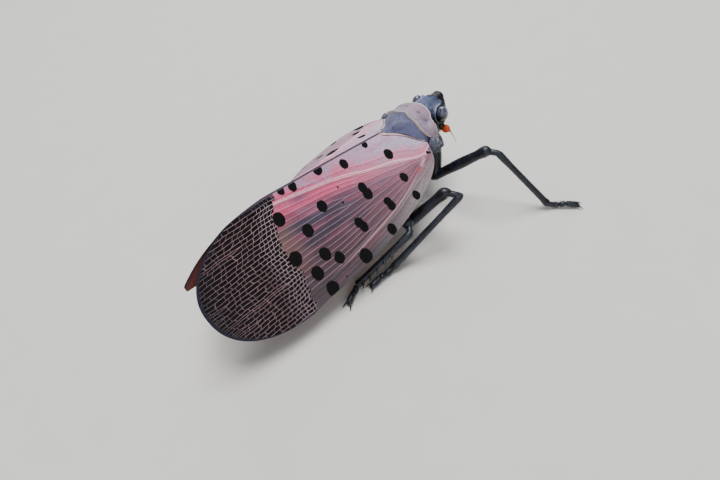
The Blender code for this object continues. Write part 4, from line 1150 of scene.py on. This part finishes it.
# Rostrum: the jointed sucking beak, folded back under the body between the legs, black
# and hard with a groove along its front.
ROSTRUM_PATH = [(10.5, -1.9), (10.35, -2.5), (9.7, -3.05), (8.2, -3.25), (6.0, -3.3), (3.6, -3.35)]
ROSTRUM_RADIUS, ROSTRUM_JOINTS = 0.27, (0.28, 0.62)
GROOVE_DEPTH, GROOVE_WIDTH = 0.06, 0.05


def smooth_route(points, steps):
    pts = [Vector(p) for p in points]
    pts = [2 * pts[0] - pts[1]] + pts + [2 * pts[-1] - pts[-2]]
    route = []
    for p0, p1, p2, p3 in zip(pts, pts[1:], pts[2:], pts[3:]):
        for s in range(steps):
            u = s / steps
            route.append(0.5 * (2 * p1 + (p2 - p0) * u + (2 * p0 - 5 * p1 + 4 * p2 - p3) * u * u
                                + (3 * p1 - p0 - 3 * p2 + p3) * u ** 3))
    return route + [pts[-2]]


def rostrum_radius(s):
    joint = sum(hump(s - place, 0.02) for place in ROSTRUM_JOINTS)
    return ROSTRUM_RADIUS * (1.1 - 0.35 * s - 0.3 * joint - 0.5 * soft(0.93, 1.0, s))


black_look = slate_finish("leg_cuticle", (9, 10, 14), (52, 60, 78), 0.4, 700.0, 0.36)
beak = tube(smooth_route([(x, 0, z) for x, z in ROSTRUM_PATH], 16), rostrum_radius, 28)
swell(piece("rostrum", beak, black_look),
      lambda x, y, z: -GROOVE_DEPTH * hump(y, GROOVE_WIDTH))

# Legs: black and jointed. The hip cone and a curved thigh bear a thinner bristly shin on a
# bent neck, then a foot of three segments with two claws; hind shins carry spurs.
# Each leg gives its root's points, then knee, elbow, ankle and toe tip, over the floor.
LEGS = {
    "fore_right": ([(7.7, -1.95, 2.0), (7.85, -2.8, 2.2)], (9.75, -6.15, 5.4),
                   (10.15, -7.0, 5.4), (12.35, -10.65, 0.5), (14.0, -12.45, 0)),
    "mid_right": ([(4.95, -2.0, 2.3), (3.4, -3.4, 1.55), (2.5, -4.15, 1.45)], (4.9, -6.1, 4.6),
                  (5.45, -7.1, 4.45), (-0.5, -5.65, 0.5), (-2.85, -5.5, 0)),
    "hind_right": ([(3.0, -1.6, 2.2)], (2.0, -4.85, 2.75), (1.5, -5.6, 2.55),
                   (-3.5, -4.75, 0.5), (-5.0, -5.3, 0)),
    "fore_left": ([(7.7, 1.95, 2.1), (8.4, 2.7, 2.1)], (12.9, 4.4, 3.0), (13.0, 5.3, 2.9),
                  (9.2, 7.75, 0.5), (7.4, 8.4, 0)),
    "mid_left": ([(4.95, 2.0, 2.3), (3.4, 3.4, 1.55), (2.5, 4.15, 1.45)], (6.6, 5.3, 2.8),
                 (7.3, 6.0, 2.6), (0.6, 7.3, 0.5), (-1.5, 7.7, 0)),
    "hind_left": ([(3.0, 1.6, 2.2)], (2.0, 4.85, 2.75), (1.5, 5.6, 2.55), (-4.9, 6.0, 0.5),
                  (-6.9, 6.2, 0)),
}
FEMUR_RADIUS, TIBIA_RADIUS, TARSUS_RADIUS = 0.45, 0.26, 0.26
FEMUR_PROFILE = [(0, 0.8), (0.06, 0.95), (0.3, 0.88), (0.55, 1.0), (0.82, 0.88), (0.93, 1.04),
                 (1, 0.55)]
TIBIA_PROFILE = [(0, 0.3), (0.02, 0.85), (0.07, 1.1), (0.3, 0.95), (0.9, 1.0), (0.97, 1.2),
                 (1, 0.95)]
KNEE_BEND = 0.42
SPUR_PLACES, SPUR_LENGTH, SPUR_RADIUS = (0.36, 0.5, 0.64, 0.78, 0.9), 0.85, 0.17
THIGH_HAIRS, SHIN_HAIRS, FOOT_HAIRS = 14, 26, 12
FOOT_JOINTS, CLAW_LENGTH = (0.36, 0.58), 0.75
FORE_HIP = (8.75, 1.92, -0.85)
floor_place = Matrix.Translation((trunk_place.translation.x, trunk_place.translation.y, 0))
chance = random.Random(7)


def bent_route(points, bend):
    """Straight runs through the points, each corner turned on an arc and finely stepped."""
    pts = [Vector(p) for p in points]
    route = [pts[0]]
    for a, corner, b in zip(pts, pts[1:], pts[2:]):
        to_a, to_b = (a - corner).normalized(), (b - corner).normalized()
        half = to_a.angle(to_b) / 2
        reach = min(bend / tan(half), 0.45 * (a - corner).length, 0.8 * (b - corner).length)
        centre = corner + (to_a + to_b).normalized() * (reach / cos(half))
        first, last = corner + to_a * reach - centre, corner + to_b * reach - centre
        turn = first.angle(last)
        for u in (k / 12 for k in range(13)):
            arm = first * sin((1 - u) * turn) + last * sin(u * turn)
            route.append(centre + arm / sin(turn))
    route.append(pts[-1])
    fine = []
    for a, b in zip(route, route[1:]):
        count = max(1, int((b - a).length / 0.15))
        fine += [a.lerp(b, k / count) for k in range(count)]
    return fine + [route[-1]]


def thorn(foot, tip, radius, sides):
    return tube([foot, foot.lerp(tip, 0.25), foot.lerp(tip, 0.5), foot.lerp(tip, 0.8), tip],
                lambda s: radius * (1 - 0.92 * s), sides)


def hairs(a, b, radius, count, length):
    """Short bristles lying towards b on a limb that runs from a to b."""
    along = (b - a).normalized()
    side = along.cross(Vector((0.3, 0.2, 1))).normalized()
    above = side.cross(along)
    grown = []
    for _ in range(count):
        place = a.lerp(b, chance.uniform(0.08, 0.97))
        turn = chance.uniform(0, 2 * pi)
        out_way = side * cos(turn) + above * sin(turn)
        foot = place + out_way * radius * 0.8
        grown.append(thorn(foot, foot + (out_way * 0.6 + along).normalized() * length, 0.022, 5))
    return grown


def toe_radius(s):
    joints = sum(hump(s - place, 0.025) for place in FOOT_JOINTS)
    return TARSUS_RADIUS * (0.85 + 0.12 * s - 0.35 * joints - 0.4 * soft(0.93, 1.0, s))


for name, (root, *bends) in LEGS.items():
    root = [Vector(p) for p in root]
    knee, elbow, ankle, toe = (Vector(p) for p in bends)
    heading = ((root + [knee])[1] - root[0]).normalized()
    neck = (elbow - knee).normalized()
    side = 1 if name.endswith("left") else -1
    if name.startswith("fore"):
        top = floor_place.inverted() @ trunk_place @ (on_side(FORE_HIP, side) * MM) / MM
        foot = root[1] + Vector((0, 0, 0.1))
        hip = tube([top.lerp(foot, k / 16) for k in range(17)],
                   lambda s: 0.42 + 0.16 * sin(pi * (0.15 + 0.75 * s)) - 0.06 * s, 28)
    else:
        inward = root[0] - heading * 0.9
        hip = tube([inward + Vector((0, -0.3 * side, 0.35)), inward, root[0] + heading * 0.15,
                    root[0] + heading * 0.35], lambda s: 0.62 - 0.24 * s ** 2, 24)
    route = bent_route(root + [knee, knee + neck * KNEE_BEND], KNEE_BEND)
    thigh = tube(route, lambda s: curve(FEMUR_PROFILE, s) * FEMUR_RADIUS, 24)
    fuzz = hairs(route[len(route) // 3], knee, FEMUR_RADIUS, THIGH_HAIRS, 0.2)
    piece("femur_" + name, gather(hip, thigh, *fuzz), black_look, floor_place)

    shin = ankle - elbow
    shaft = tube([elbow + shin * (-0.03 + 1.05 * k / 60) for k in range(61)],
                 lambda s: curve(TIBIA_PROFILE, s) * TIBIA_RADIUS, 24)
    stem = tube([knee + neck * 0.1, knee.lerp(elbow, 0.5), elbow - neck * 0.1,
                 elbow + shin * 0.02], lambda s: 0.245 + 0.01 * s, 18)
    extra = hairs(elbow, ankle, TIBIA_RADIUS, SHIN_HAIRS, 0.26)
    if name.startswith("hind"):
        way = (Vector((0, side, 0.25)) + shin.normalized() * 0.9).normalized()
        for foot in (elbow + shin * along for along in SPUR_PLACES):
            extra.append(thorn(foot, foot + way * SPUR_LENGTH, SPUR_RADIUS, 12))
    piece("tibia_" + name, gather(shaft, stem, *extra), black_look, floor_place)

    flat = Vector((toe.x - ankle.x, toe.y - ankle.y, 0)).normalized()
    begin = ankle + shin.normalized() * 0.05 + flat * 0.1
    heights = [(0.0, begin.z - 0.05), (0.25, 0.3), (0.55, 0.4), (0.85, 0.3), (1.0, 0.24)]
    route = [Vector((begin.x + (toe.x - begin.x) * k / 40, begin.y + (toe.y - begin.y) * k / 40,
                     curve(heights, k / 40))) for k in range(41)]
    bodies = [tube(route, toe_radius, 20)]
    for hand in (1, -1):
        across = Vector((-flat.y, flat.x, 0)) * hand * 0.4
        foot = route[34] + across * 0.17 + Vector((0, 0, -0.03))
        tip = foot + (flat + across).normalized() * CLAW_LENGTH + Vector((0, 0, -0.2))
        claw = smooth_route([foot, foot.lerp(tip, 0.55) + Vector((0, 0, 0.1)), tip], 6)
        bodies.append(tube(claw, lambda s: 0.12 * (1 - 0.88 * s), 10))
    bodies.append(ball(route[-1] + Vector((0, 0, -0.08)), (0.16, 0.16, 0.1), 16, 10))
    bodies += hairs(route[0], route[-3], TARSUS_RADIUS, FOOT_HAIRS, 0.16)
    verts, faces = gather(*bodies)
    verts = [Vector((v.x, v.y, max(0.0, v.z))) for v in verts]
    piece("tarsus_" + name, (verts, faces), black_look, floor_place)

size = {"cad": [list(c) for c in cad_box], "visual": [list(c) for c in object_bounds()]}
